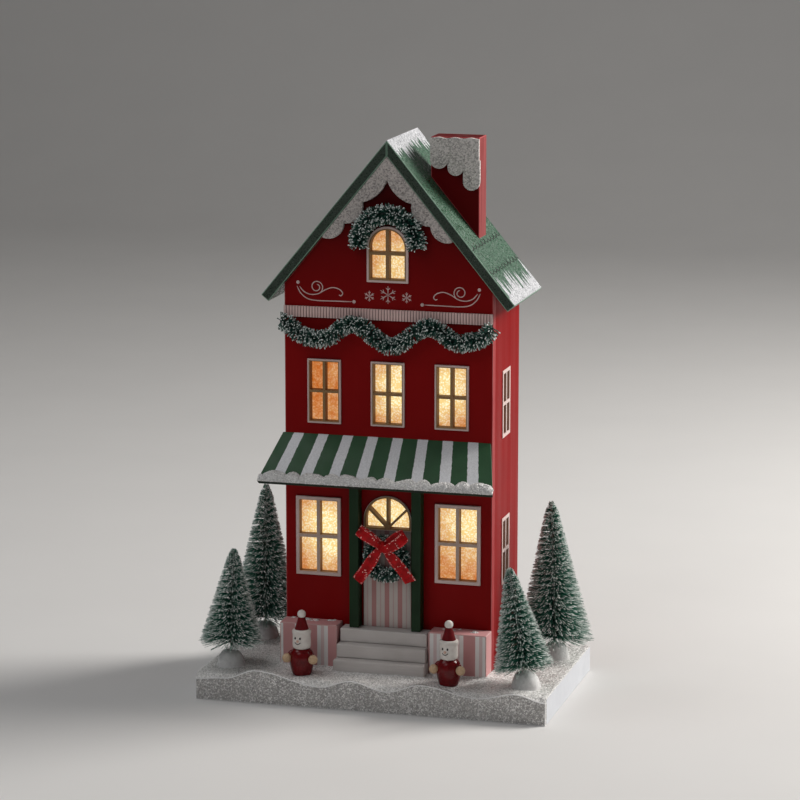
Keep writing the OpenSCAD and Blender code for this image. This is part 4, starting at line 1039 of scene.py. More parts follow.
class Workshop:
    """Makes meshes from surfaces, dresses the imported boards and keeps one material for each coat."""

    weld: float = 0.002
    flat_angle: float = 0.5
    edge_angle: float = 40.0
    edge_steps: int = 3

    def __init__(self, nodes: dict[str, Any]) -> None:
        """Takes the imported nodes."""
        self.nodes = nodes
        self.mixed: dict[str, Any] = {}

    def coat(self, coat: Coat) -> Any:
        """Returns a coat's material, mixed once.

        Args:
            coat: The finish.

        Returns:
            The material.
        """
        if coat.name not in self.mixed:
            self.mixed[coat.name] = coat.mix(Graph(coat.name))
        return self.mixed[coat.name]

    def mesh(self, name: str, surface: Surface, coat: Coat, sharp: float, solid: bool) -> Any:
        """Makes an object at the origin, its doubles merged and its faces turned outwards.

        Args:
            name: The object's name.
            surface: Its points, faces and layers.
            coat: Its finish.
            sharp: Angle in degrees past which an edge stays sharp.
            solid: Whether the surface is closed, so that its faces can be turned outwards.

        Returns:
            The object.
        """
        mesh = bpy.data.meshes.new(name)
        faces = [face for block in surface.faces for face in block.tolist()]
        mesh.from_pydata((surface.points * MM).tolist(), [], faces)
        for layer, values in surface.layers.items():
            held = mesh.attributes.new(layer, "FLOAT", "POINT")
            held.data.foreach_set("value", values.astype(np.float32))
        loose = bmesh.new()
        loose.from_mesh(mesh)
        bmesh.ops.remove_doubles(loose, verts=loose.verts, dist=1e-7)
        bmesh.ops.dissolve_degenerate(loose, edges=loose.edges, dist=1e-8)
        if solid:
            bmesh.ops.recalc_face_normals(loose, faces=loose.faces)
        loose.to_mesh(mesh)
        loose.free()
        mesh.shade_smooth()
        mesh.set_sharp_from_angle(angle=np.radians(sharp))
        mesh.materials.append(self.coat(coat))
        made = bpy.data.objects.new(name, mesh)
        bpy.context.scene.collection.objects.link(made)
        return made

    def piece(self, name: str, surface: Surface, coat: Coat, slot: str, *replaced: str,
              sharp: float = 50.0, solid: bool = True) -> Any:
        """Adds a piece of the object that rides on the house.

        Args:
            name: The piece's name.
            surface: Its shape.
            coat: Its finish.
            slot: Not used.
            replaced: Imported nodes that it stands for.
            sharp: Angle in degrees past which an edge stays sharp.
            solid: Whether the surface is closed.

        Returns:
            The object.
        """
        made = self.mesh(name, surface, coat, sharp, solid)
        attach(made, HOUSE)
        if replaced:
            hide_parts(*replaced)
        LOG.info("%s: %d points", name, len(made.data.vertices))
        return made

    def thicken(self, made: Any, thickness: float, offset: float = 0.0) -> None:
        """Gives a sheet a wall of some thickness.

        Args:
            made: The sheet.
            thickness: The wall's thickness.
            offset: Where the wall lies: 1 outside the sheet, -1 inside, 0 about it.
        """
        wall = made.modifiers.new("wall", "SOLIDIFY")
        wall.thickness = thickness * MM
        wall.offset = offset

    def dress(self, coat: Coat, ease: Ease | None, *nodes: str, edge: Coat | None = None,
              pierced: bool = False) -> None:
        """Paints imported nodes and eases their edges.

        Args:
            coat: The finish of the faces.
            ease: How far the edges are eased, or nothing.
            nodes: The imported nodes.
            edge: The finish of the eased edges, the faces' own where none is given.
            pierced: Whether flat faces have openings, so that they are left as they are cut up.
        """
        for name in nodes:
            node = self.nodes[name]
            node.data.materials.clear()
            node.data.materials.append(self.coat(coat))
            if edge is not None:
                node.data.materials.append(self.coat(edge))
            if ease is not None:
                weld = node.modifiers.new("weld", "WELD")
                weld.merge_threshold = self.weld * MM
                if not pierced:
                    flat = node.modifiers.new("flat", "DECIMATE")
                    flat.decimate_type = "DISSOLVE"
                    flat.angle_limit = np.radians(self.flat_angle)
                round_off = node.modifiers.new("ease", "BEVEL")
                round_off.width = ease.value * MM
                round_off.segments = self.edge_steps
                round_off.limit_method = "ANGLE"
                round_off.angle_limit = np.radians(self.edge_angle)
                round_off.material = -1 if edge is None else 1
                round_off.harden_normals = True
            LOG.info("%s: %s", name, coat.name)


# Sub-assemblies


@dataclass
class SnowyBase:
    """The base board, its wavy skirt and the snow that lies on it."""

    depth: float = 0.45
    uneven: float = 0.28
    broad_wave: float = 34.0
    fine_wave: float = 11.0
    drift: float = 1.5
    drift_reach: float = 4.5
    least: float = 0.12
    lifted: float = 0.04
    edge: float = 1.6
    bend: float = 3.0
    bend_rows: int = 14
    lap: float = 0.6
    bank_reach: float = 7.0
    bank_low: float = 0.15
    brim: float = 0.1
    tuck: float = 0.35
    spacing: float = 1.1
    thick: float = 0.3
    carried: tuple[str, ...] = ("front_panel", "left_wall", "right_wall", "back_panel", "plinth_left",
                                "plinth_right", "step_lower")

    def skirt_top(self, x: Array) -> Array:
        """Reads the height of the skirt's top at each x from the skirt's own corners.

        Args:
            x: Places across the front.

        Returns:
            The heights.
        """
        skirt = corners("snow_skirt")
        tops = skirt[skirt[:, 2] > 1.0]
        order = np.argsort(tops[:, 0])
        return np.interp(x, tops[order, 0], tops[order, 2])

    def snow(self) -> Surface:
        """Snow on the board: depth + ripples + drift exp(-d / reach), up to the skirt's top at the front.

        Returns:
            The sheet, whose rim drops to the board at the sides and lies on the skirt at the front.
        """
        board = Box.of("base_board")
        skirt = Box.of("snow_skirt")
        counts = np.ceil(board.size[:2] / self.spacing).astype(int)
        bend = board.low[1] + self.bend
        first_rows = np.linspace(skirt.low[1] + self.lap, bend, self.bend_rows)
        rows = np.append(first_rows, np.linspace(bend, board.high[1], counts[1])[1:])
        x, y = np.meshgrid(np.linspace(board.low[0], board.high[0], counts[0]), rows)
        near = np.full(x.shape, np.inf)
        for node in self.carried:
            foot = Box.of(node)
            out_x = np.maximum(np.abs(x - foot.mid[0]) - foot.size[0] / 2, 0)
            out_y = np.maximum(np.abs(y - foot.mid[1]) - foot.size[1] / 2, 0)
            near = np.minimum(near, np.hypot(out_x, out_y))
        waves = self.uneven * (ripple(x, y, self.broad_wave, 3) + 0.5 * ripple(x, y, self.fine_wave, 4))
        rise = np.maximum(self.depth + waves + self.drift * np.exp(-near / self.drift_reach), self.least)
        rim = np.minimum(board.high[0] - np.abs(x), board.high[1] - y)
        rise = rise * np.sqrt(np.clip(rim / self.edge, 0, 1)) + self.lifted
        crest = self.skirt_top(x) - board.high[2]
        ahead = (board.low[1] - y) / skirt.size[1]
        behind = np.minimum(ahead, 0) * skirt.size[1]
        bank = np.maximum(crest - self.bank_low - rise, 0) * np.exp(behind / self.bank_reach)
        slope = rise + (crest + self.brim - rise) * step_up(ahead, 0.0, 0.8)
        tucked = step_up(crest, -0.3, 0.8)
        rise = np.where(ahead > 0, slope + (crest - self.tuck - slope) * tucked, rise + bank)
        return grid(np.stack([x, y, board.high[2] + rise], axis=-1))

    def build(self, shop: Workshop) -> None:
        """Paints the board and the skirt, and lays the snow.

        Args:
            shop: The workshop.
        """
        shop.dress(BASE_SIDE, Ease.BOARD, "base_board")
        shop.dress(SNOW_COARSE, Ease.BOARD, "snow_skirt", edge=SNOW_EDGE_HIGHLIGHT)
        cover = shop.piece("snow_cover", self.snow(), SNOW, "snow", solid=False)
        shop.thicken(cover, self.thick, -1.0)


@dataclass
class HouseShell:
    """The four walls, and the white ornament painted on the front."""

    stroke: float = 0.62
    raised: float = 0.5
    dot: float = 1.05
    under_line: tuple[Spot, ...] = (
        (-56.9, 249.6), (-54.6, 245.4), (-50.4, 242.2), (-44.0, 241.2), (-32.0, 241.3), (-22.4, 241.4))
    wave_line: tuple[Spot, ...] = (
        (-55.3, 249.4), (-52.4, 246.3), (-48.3, 244.8), (-43.6, 245.4), (-39.2, 247.9), (-34.6, 249.5),
        (-30.4, 248.6), (-28.3, 246.4), (-29.3, 244.7), (-30.6, 245.2))
    dots: tuple[Spot, ...] = ((-56.3, 251.9), (-21.2, 241.4))
    curl_mid: Spot = (-44.6, 249.5)
    curl_from: float = -78.0
    curl_start: float = 4.2
    curl_end: float = 1.5
    curl_turns: float = 1.45
    flakes: tuple[tuple[float, float, float], ...] = (
        (0.0, 246.4, 5.4), (-11.6, 245.2, 3.3), (11.6, 245.2, 3.3))
    barb_at: float = 0.55
    barb: float = 0.34
    # Heights between which the front's red darkens upwards as painted shade below the roof
    shade_from: float = 235.0
    shade_below_peak: float = 20.0

    def line(self, points: Array) -> Surface:
        """A raised stroke of paint through points x, z on the front.

        Args:
            points: Its points.

        Returns:
            The closed stroke.
        """
        front = Box.of("front_panel").low[1]
        path = np.stack([points[:, 0], np.full(len(points), front), points[:, 1]], axis=-1)
        ends = np.minimum(np.arange(len(path)), np.arange(len(path))[::-1])
        taper = 0.45 + 0.55 * step_up(ends, 0, 4)
        return sweep(path, oval(self.stroke, self.raised), BACK, scale=taper)

    def curl(self) -> Array:
        """The scroll's curl: r falls evenly with the angle, from the wave line inwards.

        Returns:
            Points x, z of the left curl.
        """
        turn = np.linspace(0, self.curl_turns, 60)
        radius = self.curl_start + (self.curl_end - self.curl_start) * turn / self.curl_turns
        angle = np.radians(self.curl_from) + TURN * turn
        return np.array(self.curl_mid) + radius[:, None] * np.stack([np.cos(angle), np.sin(angle)], axis=-1)

    def scroll(self, side: Side) -> list[Surface]:
        """The strokes and dots of one side's scroll.

        Args:
            side: Which half of the front it is on.

        Returns:
            Its surfaces.
        """
        flip = np.array([-side.value, 1.0])
        strokes = [self.line(spline(points) * flip) for points in (self.under_line, self.wave_line)]
        front = Box.of("front_panel").low[1]
        size = np.array([self.dot, self.raised / 2, self.dot])
        drops = [ball(np.array([-side.value * x, front, z]), size) for x, z in self.dots]
        return strokes + [self.line(self.curl() * flip)] + drops

    def flake(self, x: float, z: float, size: float) -> list[Surface]:
        """A six-armed snowflake, with a pair of barbs on each arm.

        Args:
            x: Middle to the right.
            z: Middle above the ground.
            size: Length of an arm.

        Returns:
            Its strokes.
        """
        strokes = []
        for angle in np.arange(6) * TURN / 6 + TURN / 4:
            way = np.array([np.cos(angle), np.sin(angle)])
            strokes.append(self.line(np.array([x, z]) + np.linspace(0.05, 1, 9)[:, None] * size * way))
            for turn in (-1, 1):
                barb = np.array([np.cos(angle + turn * TURN / 8), np.sin(angle + turn * TURN / 8)])
                steps = np.linspace(0, self.barb, 6)[:, None] * size * barb
                strokes.append(self.line(np.array([x, z]) + self.barb_at * size * way + steps))
        return strokes

    def build(self, shop: Workshop) -> None:
        """Paints the walls and adds the ornament.

        Args:
            shop: The workshop.
        """
        front = Box.of("front_panel")
        # Painted shade: the front's red darkens towards the gable
        rise = (self.shade_from, front.high[2] - self.shade_below_peak)
        coat = replace(FRONT_RED, rise=rise, right=front.high[0] - END)
        shop.dress(coat, Ease.BOARD, "front_panel", edge=RED_EDGE_HIGHLIGHT, pierced=True)
        shop.dress(RED, Ease.BOARD, "left_wall", "right_wall", edge=RED_EDGE_HIGHLIGHT, pierced=True)
        shop.dress(RED, None, "back_panel")
        for side in Side:
            shop.piece(f"scroll_{side.word}", join(self.scroll(side)), LINE, "frame_pink")
        strokes = [stroke for flake in self.flakes for stroke in self.flake(*flake)]
        shop.piece("painted_snowflakes", join(strokes), LINE, "frame_pink")


@dataclass
class Roof:
    """The two roof boards with their painted snow and shingle lines, the gable trim and the chimney."""

    paint: float = 0.3
    ridge_snow: float = 11.0
    ridge_teeth: float = 11.0
    eave_snow: float = 13.0
    eave_teeth: float = 18.0
    teeth: int = 15
    shingle_rows: tuple[float, ...] = (0.642, 0.789)
    shingle_w: float = 7.1
    shingle_d: float = 3.2
    shingle_line: float = 0.9
    shingle_h: float = 0.4
    inset: float = 0.4
    lift: float = 0.05
    steps: int = 420
    rows: int = 7

    def __post_init__(self) -> None:
        """Reads the roof's slope from its boards."""
        board = Box.of("roof_right")
        self.front = board.low[1] + self.inset
        self.back = board.high[1] - self.inset
        self.ridge = board.high[2]
        self.span = board.high[0]
        points = corners("roof_right")
        self.fall = self.ridge - points[points[:, 0] > self.span - NEAR, 2].max()
        self.slope = np.hypot(self.span, self.fall)

    def on_slope(self, side: Side, down: Array, y: Array, lift: float) -> Array:
        """Points at a distance down the slope and at y, lifted off the board.

        Args:
            side: Which slope.
            down: Distances from the ridge.
            y: Places along the ridge.
            lift: Distance off the board.

        Returns:
            The points.
        """
        run, drop = self.span / self.slope, self.fall / self.slope
        x = side.value * (down * run + lift * drop)
        return np.stack(np.broadcast_arrays(x, y, self.ridge - down * drop + lift * run), axis=-1)

    def icicles(self, y: Array, snow: float, tooth: float, seed: int) -> Array:
        """How far snow reaches along the slope: its solid part and the longest tooth at each y.

        Args:
            y: Places along the ridge.
            snow: Reach of the solid part.
            tooth: Longest reach beyond it.
            seed: Picks the teeth.

        Returns:
            The reach at each y.
        """
        rng = np.random.default_rng(seed)
        pitch = (self.back - self.front) / self.teeth
        middles = self.front + pitch * (np.arange(self.teeth) + rng.uniform(0.2, 0.8, self.teeth))
        halves = pitch * rng.uniform(0.3, 0.6, self.teeth)
        reaches = tooth * rng.uniform(0.3, 1.0, self.teeth)
        shape = np.clip(1 - np.abs(y[:, None] - middles) / halves, 0, 1) ** 0.8
        return snow * (0.85 + 0.15 * np.cos(y / 9.0)) - 0.25 * tooth + (reaches * shape).max(axis=1)

    def ridge_cap(self) -> Surface:
        """Snow over the ridge: down each slope by share s of the reach at y, s from -1 to 1.

        Returns:
            The sheet.
        """
        y = np.linspace(self.front, self.back, self.steps)
        shares = np.linspace(0, 1, self.rows)[:, None]
        rows = {}
        for side, seed in ((Side.LEFT, 21), (Side.RIGHT, 22)):
            reach = self.icicles(y, self.ridge_snow, self.ridge_teeth, seed)
            rows[side] = self.on_slope(side, shares * reach, y, self.lift)
        return grid(np.vstack([rows[Side.LEFT][::-1], rows[Side.RIGHT][1:]]))

    def eave_sheet(self, side: Side, seed: int) -> Surface:
        """Snow above an eave: up the slope by share s of the reach at y.

        Args:
            side: Which slope.
            seed: Picks its teeth.

        Returns:
            The sheet.
        """
        y = np.linspace(self.front, self.back, self.steps)
        reach = self.icicles(y, self.eave_snow, self.eave_teeth, seed)
        downs = self.slope - self.inset - np.linspace(0, 1, self.rows)[:, None] * reach
        points = self.on_slope(side, downs, y, self.lift)
        return grid(points if side is Side.LEFT else points[::-1])

    def shingles(self, side: Side) -> Surface:
        """Rows of scalloped lines: down = row + depth * sqrt(1 - u^2) in each scallop.

        Args:
            side: Which slope.

        Returns:
            The closed lines.
        """
        y = np.linspace(self.front + 1, self.back - 1, 320)
        rows = []
        flat = np.zeros(1)
        normal = self.on_slope(side, flat, flat, 1.0) - self.on_slope(side, flat, flat, 0.0)
        for k, share in enumerate(self.shingle_rows):
            u = 2 * np.mod(y / self.shingle_w + 0.5 * k, 1.0) - 1
            down = share * self.slope + self.shingle_d * np.sqrt(np.maximum(1 - u * u, 0))
            path = self.on_slope(side, down, y, 0.0)
            width = 0.95 + 0.4 * ripple(y, down, 3.0, 40 + k)
            rows.append(sweep(path, oval(self.shingle_line, self.shingle_h), normal[0], scale=width))
        return join(rows)

    def build(self, shop: Workshop) -> None:
        """Paints the boards, trim and chimney, and adds the painted snow and lines.

        Args:
            shop: The workshop.
        """
        # The boards' front faces are darkened as painted shade
        coat = replace(ROOF, front=Box.of("roof_left").low[1] + END)
        shop.dress(coat, Ease.BOARD, "roof_left", "roof_right", edge=ROOF_EDGE_HIGHLIGHT)
        shop.dress(SNOW_GABLE_SHADED, Ease.BOARD, "gable_snow_trim", edge=SNOW_GABLE_SHADED)
        shop.dress(SNOW_TRIM, Ease.BOARD, "chimney_snow", edge=SNOW_EDGE_HIGHLIGHT)
        # The chimney's paint: darker all over as painted shade, its right side paler as a painted sheen
        stack = replace(CHIMNEY_RED_SHADED, right=Box.of("chimney").high[0] - END)
        shop.dress(stack, Ease.BOARD, "chimney", edge=RED_EDGE_HIGHLIGHT)
        cap = shop.piece("ridge_snow", self.ridge_cap(), ROOF_SNOW, "snow", solid=False)
        shop.thicken(cap, self.paint, 1.0)
        for side in Side:
            name = side.word
            eave = self.eave_sheet(side, 30 + side.value)
            sheet = shop.piece(f"eave_snow_{name}", eave, ROOF_SNOW, "snow", solid=False)
            shop.thicken(sheet, self.paint, 1.0)
            shop.piece(f"shingle_lines_{name}", self.shingles(side), SHINGLE, "roof_green")


@dataclass
class Porch:
    """The awning with its snow, the door with its posts and fanlight, the steps and the plinths."""

    snow_w: float = 7.9
    snow_h: float = 1.6
    over: float = 0.2
    lump: float = 11.7
    grain: float = 0.2
    flutes: int = 72
    dab_count: int = 9
    dab_sizes: Spot = (0.7, 2.3)
    dab_shape: tuple[float, float, float] = (1.0, 0.8, 0.3)
    # Depth of the awning's front edge that is darkened as painted shade
    shaded_fascia: float = 2.6
    # How far below the door's top the painted shade under the awning starts
    shade_drop: float = 34.0
    steps: int = 420
    sides: int = 30

    def __post_init__(self) -> None:
        """Reads the awning's box, the height of its lower edge and half the width of its upper one."""
        self.board = Box.of("awning")
        points = corners("awning")
        self.edge_z = points[points[:, 1] < self.board.low[1] + NEAR, 2].max()
        self.top_half = points[points[:, 1] > self.board.high[1] - NEAR, 0].max() - self.board.mid[0]

    def dabs(self) -> Surface:
        """Dabs of snow on the plinths: flat ovals of uneven outline, r = r0 (1 + 0.2 ripple(angle)).

        Returns:
            The closed dabs.
        """
        rng = np.random.default_rng(55)
        made = []
        for side in Side:
            top = Box.of(f"plinth_{side.word}")
            for _ in range(self.dab_count):
                size = rng.uniform(*self.dab_sizes)
                share = np.array([rng.uniform(0.06, 0.94), 1 - 0.75 * rng.uniform(0, 1) ** 2])
                spot = top.low[:2] + size + share * (top.size[:2] - 2 * size)
                blob = ball(np.zeros(3), np.array(self.dab_shape) * size, 9, 22)
                turn = np.arctan2(blob.points[:, 1], blob.points[:, 0])
                swell = 1 + 0.2 * ripple(np.cos(turn), np.sin(turn), 2.2, int(size * 1000))
                blob.points = blob.points * swell[:, None] + np.append(spot, top.high[2])
                made.append(blob)
        return join(made)

    def awning_snow(self) -> Surface:
        """Snow along the awning's edge: an oval across the slope whose width and height swell in lumps.

        Returns:
            The closed roll, roughened grain by grain.
        """
        board = self.board
        rise = np.array([0.0, board.size[1], board.high[2] - self.edge_z])
        up = rise / np.linalg.norm(rise)
        out = np.array([0.0, -up[2], up[1]])
        x = np.linspace(board.low[0] + END, board.high[0] - END, self.steps)[:, None]
        a = np.linspace(0, TURN, self.sides, endpoint=False)[None]
        lumps = np.abs(np.sin(np.pi * x / self.lump + 0.45 * np.sin(x / 4.1))) ** 0.7
        ends = np.sqrt(np.clip((board.size[0] / 2 - np.abs(x - board.mid[0])) / 2.5, 0, 1))
        width = self.snow_w * (0.62 + 0.38 * lumps + 0.1 * ripple(x, 0 * x, 9.0, 51)) * (0.6 + 0.4 * ends)
        height = self.snow_h * (0.82 + 0.18 * lumps + 0.08 * ripple(x, 0 * x, 6.0, 52)) * ends
        across = width / 2 * (1 + np.cos(a)) - self.over
        above = height * np.maximum(np.sin(a), -0.12)
        rng = np.random.default_rng(53)
        on_top = np.where(np.sin(a) > -0.1, 1.0, 0.0)[..., None]
        rough = self.grain * rng.uniform(-1, 1, (self.steps, self.sides, 3)) * on_top
        origin = np.array([0.0, board.low[1], self.edge_z])
        points = origin + across[..., None] * up + above[..., None] * out
        points[..., 0] += x
        return grid(points + rough, wrap_columns=True, caps=True)

    def build(self, shop: Workshop) -> None:
        """Paints the porch and rolls the snow.

        Args:
            shop: The workshop.
        """
        board = self.board
        stripes = replace(AWNING, front=board.low[1] + self.shaded_fascia, low=self.edge_z, high=board.high[2],
                          low_half=board.size[0] / 2, high_half=self.top_half, mid=board.mid[0])
        shop.dress(stripes, Ease.THIN, "awning")
        shop.piece("awning_snow_roll", self.awning_snow(), SNOW_ROLL, "snow", "awning_snow")
        shop.dress(GREEN, Ease.BOARD, "door_post_left", "door_post_right")
        lintel = Box.of("door_panel").high[2]
        # The door darkens towards its top as painted shade under the awning
        shop.dress(replace(DOOR, shade_span=(lintel - self.shade_drop, lintel)), Ease.THIN, "door_panel")
        shop.dress(STEP, Ease.SOFT, "step_lower", "step_middle", "step_upper")
        shop.dress(PLINTH, Ease.BOARD, "plinth_left", "plinth_right", edge=DUSTY)
        strip = Box.of("cornice_strip")
        flutes = replace(FLUTED, pitch=strip.size[0] / self.flutes, start=strip.low[0])
        shop.dress(flutes, None, "cornice_strip")
        shop.piece("plinth_snow", self.dabs(), SNOW, "snow")


@dataclass
class Windows:
    """The window frames, and the film behind them with a painted glow."""

    # Bulbs' x, z and strength, which shape the film's painted glow
    bulbs: tuple[tuple[float, float, float], ...] = (
        (48, 106, 0.9), (2, 111, 0.9), (-34, 96, 0.95), (-46, 104, 0.4), (-40, 168, 0.12),
        (6, 188, 1.0), (34, 190, 1.0), (6, 258, 0.45), (3, 270, 0.3))
    reach: float = 13.0
    even: float = 0.1
    upper_w: float = 21.0
    lower_w: float = 28.4
    side_h: float = 41.5
    film_t: float = 0.3
    brown: Color = (0.34, 0.2, 0.09)
    pale: Color = (0.6, 0.45, 0.38)

    def front_coat(self, node: str, count: int, width: float, arched: bool, **looks: Any) -> FramePaint:
        """The paint for a row of like frames on the front.

        Args:
            node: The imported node.
            count: How many frames stand in the row.
            width: Width of one.
            arched: Whether their tops are round.
            looks: The bars' colour and the rim's width.

        Returns:
            The paint, set to the frames' places.
        """
        box = Box.of(node)
        pitch = (box.size[0] - width) / (count - 1) if count > 1 else FAR
        middle = (box.low[0] + width / 2, box.mid[2])
        return replace(FRAME, name=f"{node}_paint", front=-box.low[1], middle=middle, pitch=(pitch, FAR),
                       half=(width / 2, box.size[2] / 2), arched=arched, **looks)

    def side_coat(self, **looks: Any) -> FramePaint:
        """The paint for the side frames, two above one another.

        Args:
            looks: The bars' colour.

        Returns:
            The paint, set to the frames' places.
        """
        box = Box.of("side_window_frames")
        middle = (box.mid[1], box.low[2] + self.side_h / 2)
        half = (box.size[1] / 2, self.side_h / 2)
        return replace(FRAME, name="side_frame_paint", across=1, front=box.high[0], middle=middle,
                       pitch=(FAR, box.size[2] - self.side_h), half=half, **looks)

    def film(self) -> Surface:
        """The front film: x = u * half(z), z, with its painted glow summed over the bulbs as exp(-d^2 / 2
        r^2).

        Returns:
            The sheet, which narrows with the gable and carries its glow.
        """
        sheet = Box.of("front_window_film")
        peak = Box.of("front_panel").high[2]
        roof = Box.of("roof_right")
        pitch = roof.size[0] / (roof.high[2] - roof.low[2])
        z = np.linspace(sheet.low[2], sheet.high[2], 150)[:, None]
        half = np.minimum(sheet.high[0], (peak - z) * pitch * 0.9)
        x = np.linspace(-1, 1, 80)[None] * half
        y = sheet.mid[1] + 0.1 * ripple(x, z + 0 * x, 30.0, 61)
        glow = np.full(x.shape, self.even)
        for bulb_x, bulb_z, strength in self.bulbs:
            glow += strength * np.exp(-((x - bulb_x) ** 2 + (z - bulb_z) ** 2) / (2 * self.reach**2))
        made = grid(np.stack(np.broadcast_arrays(x, y, z), axis=-1))
        made.layers[GLOW] = glow.ravel()
        return made

    def build(self, shop: Workshop) -> None:
        """Paints the frames and hangs the film.

        Args:
            shop: The workshop.
        """
        fan_w, gable_w = (Box.of(node).size[0] for node in ("fanlight_frame", "gable_window_frame"))
        rows = (("fanlight_frame", 1, fan_w, True, {"bars": self.brown, "rim": 0.3}),
                ("gable_window_frame", 1, gable_w, True, {"bars": self.brown}),
                ("upper_window_frames", 3, self.upper_w, False, {"bars": self.brown, "rim": 1.0}),
                ("lower_window_frames", 2, self.lower_w, False, {"bars": self.pale, "rim": 1.8}))
        for node, count, width, arched, looks in rows:
            shop.dress(self.front_coat(node, count, width, arched, **looks), Ease.CRISP, node, pierced=True)
        shop.dress(self.side_coat(bars=FRAME.color), Ease.CRISP, "side_window_frames", pierced=True)
        sheet = shop.piece("lit_film", self.film(), FILM, "film", "front_window_film", solid=False)
        shop.thicken(sheet, self.film_t)
        shop.dress(SIDE_FILM, None, "side_window_films")


@dataclass
class Tinsel:
    """A tinsel garland on a wire: needles all round a path, cut short where the wall is."""

    name: str
    node: str
    path: Array
    reach: float
    count: int
    seed: int
    closed: bool = False
    core: float = 1.1
    needle: tuple[float, ...] = (0.2, 0.28, 0.42)
    lean: float = 0.38
    clear: float = 0.6
    sag: float = 0.06
    uneven: Spot = (0.74, 1.04)

    def needles(self) -> Surface:
        """Needles from the wire: way = cos a side + sin a lift + lean t, with random a and t.

        Returns:
            All needles, as closed strands.
        """
        rng = np.random.default_rng(self.seed)
        ways, sides, lifts = frames(self.path, BACK, self.closed)
        at = rng.uniform(0, len(self.path) - (0 if self.closed else 1), self.count)
        index = np.floor(at).astype(int)
        share = (at - index)[:, None]
        after = (index + 1) % len(self.path)
        roots = self.path[index] * (1 - share) + self.path[after] * share
        angle = rng.uniform(0, TURN, self.count)[:, None]
        lean = rng.uniform(-self.lean, self.lean, self.count)[:, None]
        way = unit(np.cos(angle) * sides[index] + np.sin(angle) * lifts[index] + lean * ways[index])
        lengths = self.reach * rng.uniform(*self.uneven, self.count)
        wall = Box.of(self.node).high[1] - roots[:, 1] - self.clear
        room = np.where(way[:, 1] > 0.02, wall / np.maximum(way[:, 1], 0.02), np.inf)
        return strands(roots, way, np.minimum(lengths, room), self.needle, self.sag, rng)

    def build(self, shop: Workshop) -> None:
        """Adds the needles and the twisted wire inside them.

        Args:
            shop: The workshop.
        """
        shop.piece(f"{self.name}_needles", self.needles(), TINSEL, "tinsel", self.node)
        wire = sweep(self.path, oval(2 * self.core, 2 * self.core), BACK, self.closed)
        wire.layers = {ALONG: np.full(len(wire.points), 0.1), LOT: np.full(len(wire.points), 1.0)}
        shop.piece(f"{self.name}_wire", wire, TINSEL, "tinsel")


@dataclass
class Garlands:
    """The swag under the cornice, the arch over the gable window and the wreath on the door."""

    swag_y: float = -23.5
    swag_z: float = 223.0
    swag_swing: float = 6.2
    swag_wave: float = 47.2
    swag_shift: float = 3.7
    swag_half: float = 65.05
    swag_fade: float = 0.9
    swag_rise: float = 4.6
    arch_mid: tuple[float, float, float] = (0.8, -21.5, 278.4)
    arch_r: float = 17.9
    arch_ends: float = 8.0
    wreath_r: float = 10.3
    wreath_y: float = -22.2

    def swag(self) -> Array:
        """The swag's path: a wave w = cos(turn (x - shift) / wave) whose dips fade outwards.

        Returns:
            Points at z = middle - swing (w - fade s^2 max(w, 0)^2) + rise max(s, 0)^6, with s = x / half.
        """
        x = np.linspace(-self.swag_half - 0.4, self.swag_half + 1.0, 150)
        s = x / self.swag_half
        wave = np.cos(TURN * (x - self.swag_shift) / self.swag_wave)
        depth = wave - self.swag_fade * s**2 * np.maximum(wave, 0) ** 2
        z = self.swag_z - self.swag_swing * depth + self.swag_rise * np.maximum(s, 0) ** 6
        return np.stack([x, np.full_like(x, self.swag_y), z], axis=-1)

    def arch(self) -> Array:
        """The arch's path: a circle from just under one side, over the top, to the other."""
        angle = np.radians(np.linspace(180 + self.arch_ends, -self.arch_ends, 80))
        return np.array(self.arch_mid) + self.arch_r * hoop(angle)

    def wreath(self) -> Array:
        """The wreath's path: a full circle on the door.

        Returns:
            Its points.
        """
        mid = Box.of("door_wreath").mid
        angle = np.linspace(0, TURN, 72, endpoint=False)
        return np.array([mid[0], self.wreath_y, mid[2]]) + self.wreath_r * hoop(angle)

    def build(self, shop: Workshop) -> None:
        """Makes the three garlands.

        Args:
            shop: The workshop.
        """
        Tinsel("swag", "swag_garland", self.swag(), 6.0, 3600, 71).build(shop)
        Tinsel("arch", "arch_garland", self.arch(), 6.6, 1700, 72, clear=1.9).build(shop)
        Tinsel("wreath", "door_wreath", self.wreath(), 5.2, 1300, 73, True, 0.8).build(shop)


@dataclass(frozen=True)
class Limb:
    """A loop or tail of the bow: angle in the front view, length, depth or slant, sink or curl, and width."""

    angle: float
    length: float
    shape: float
    sink: float = 0.0
    wide: float = 1.0


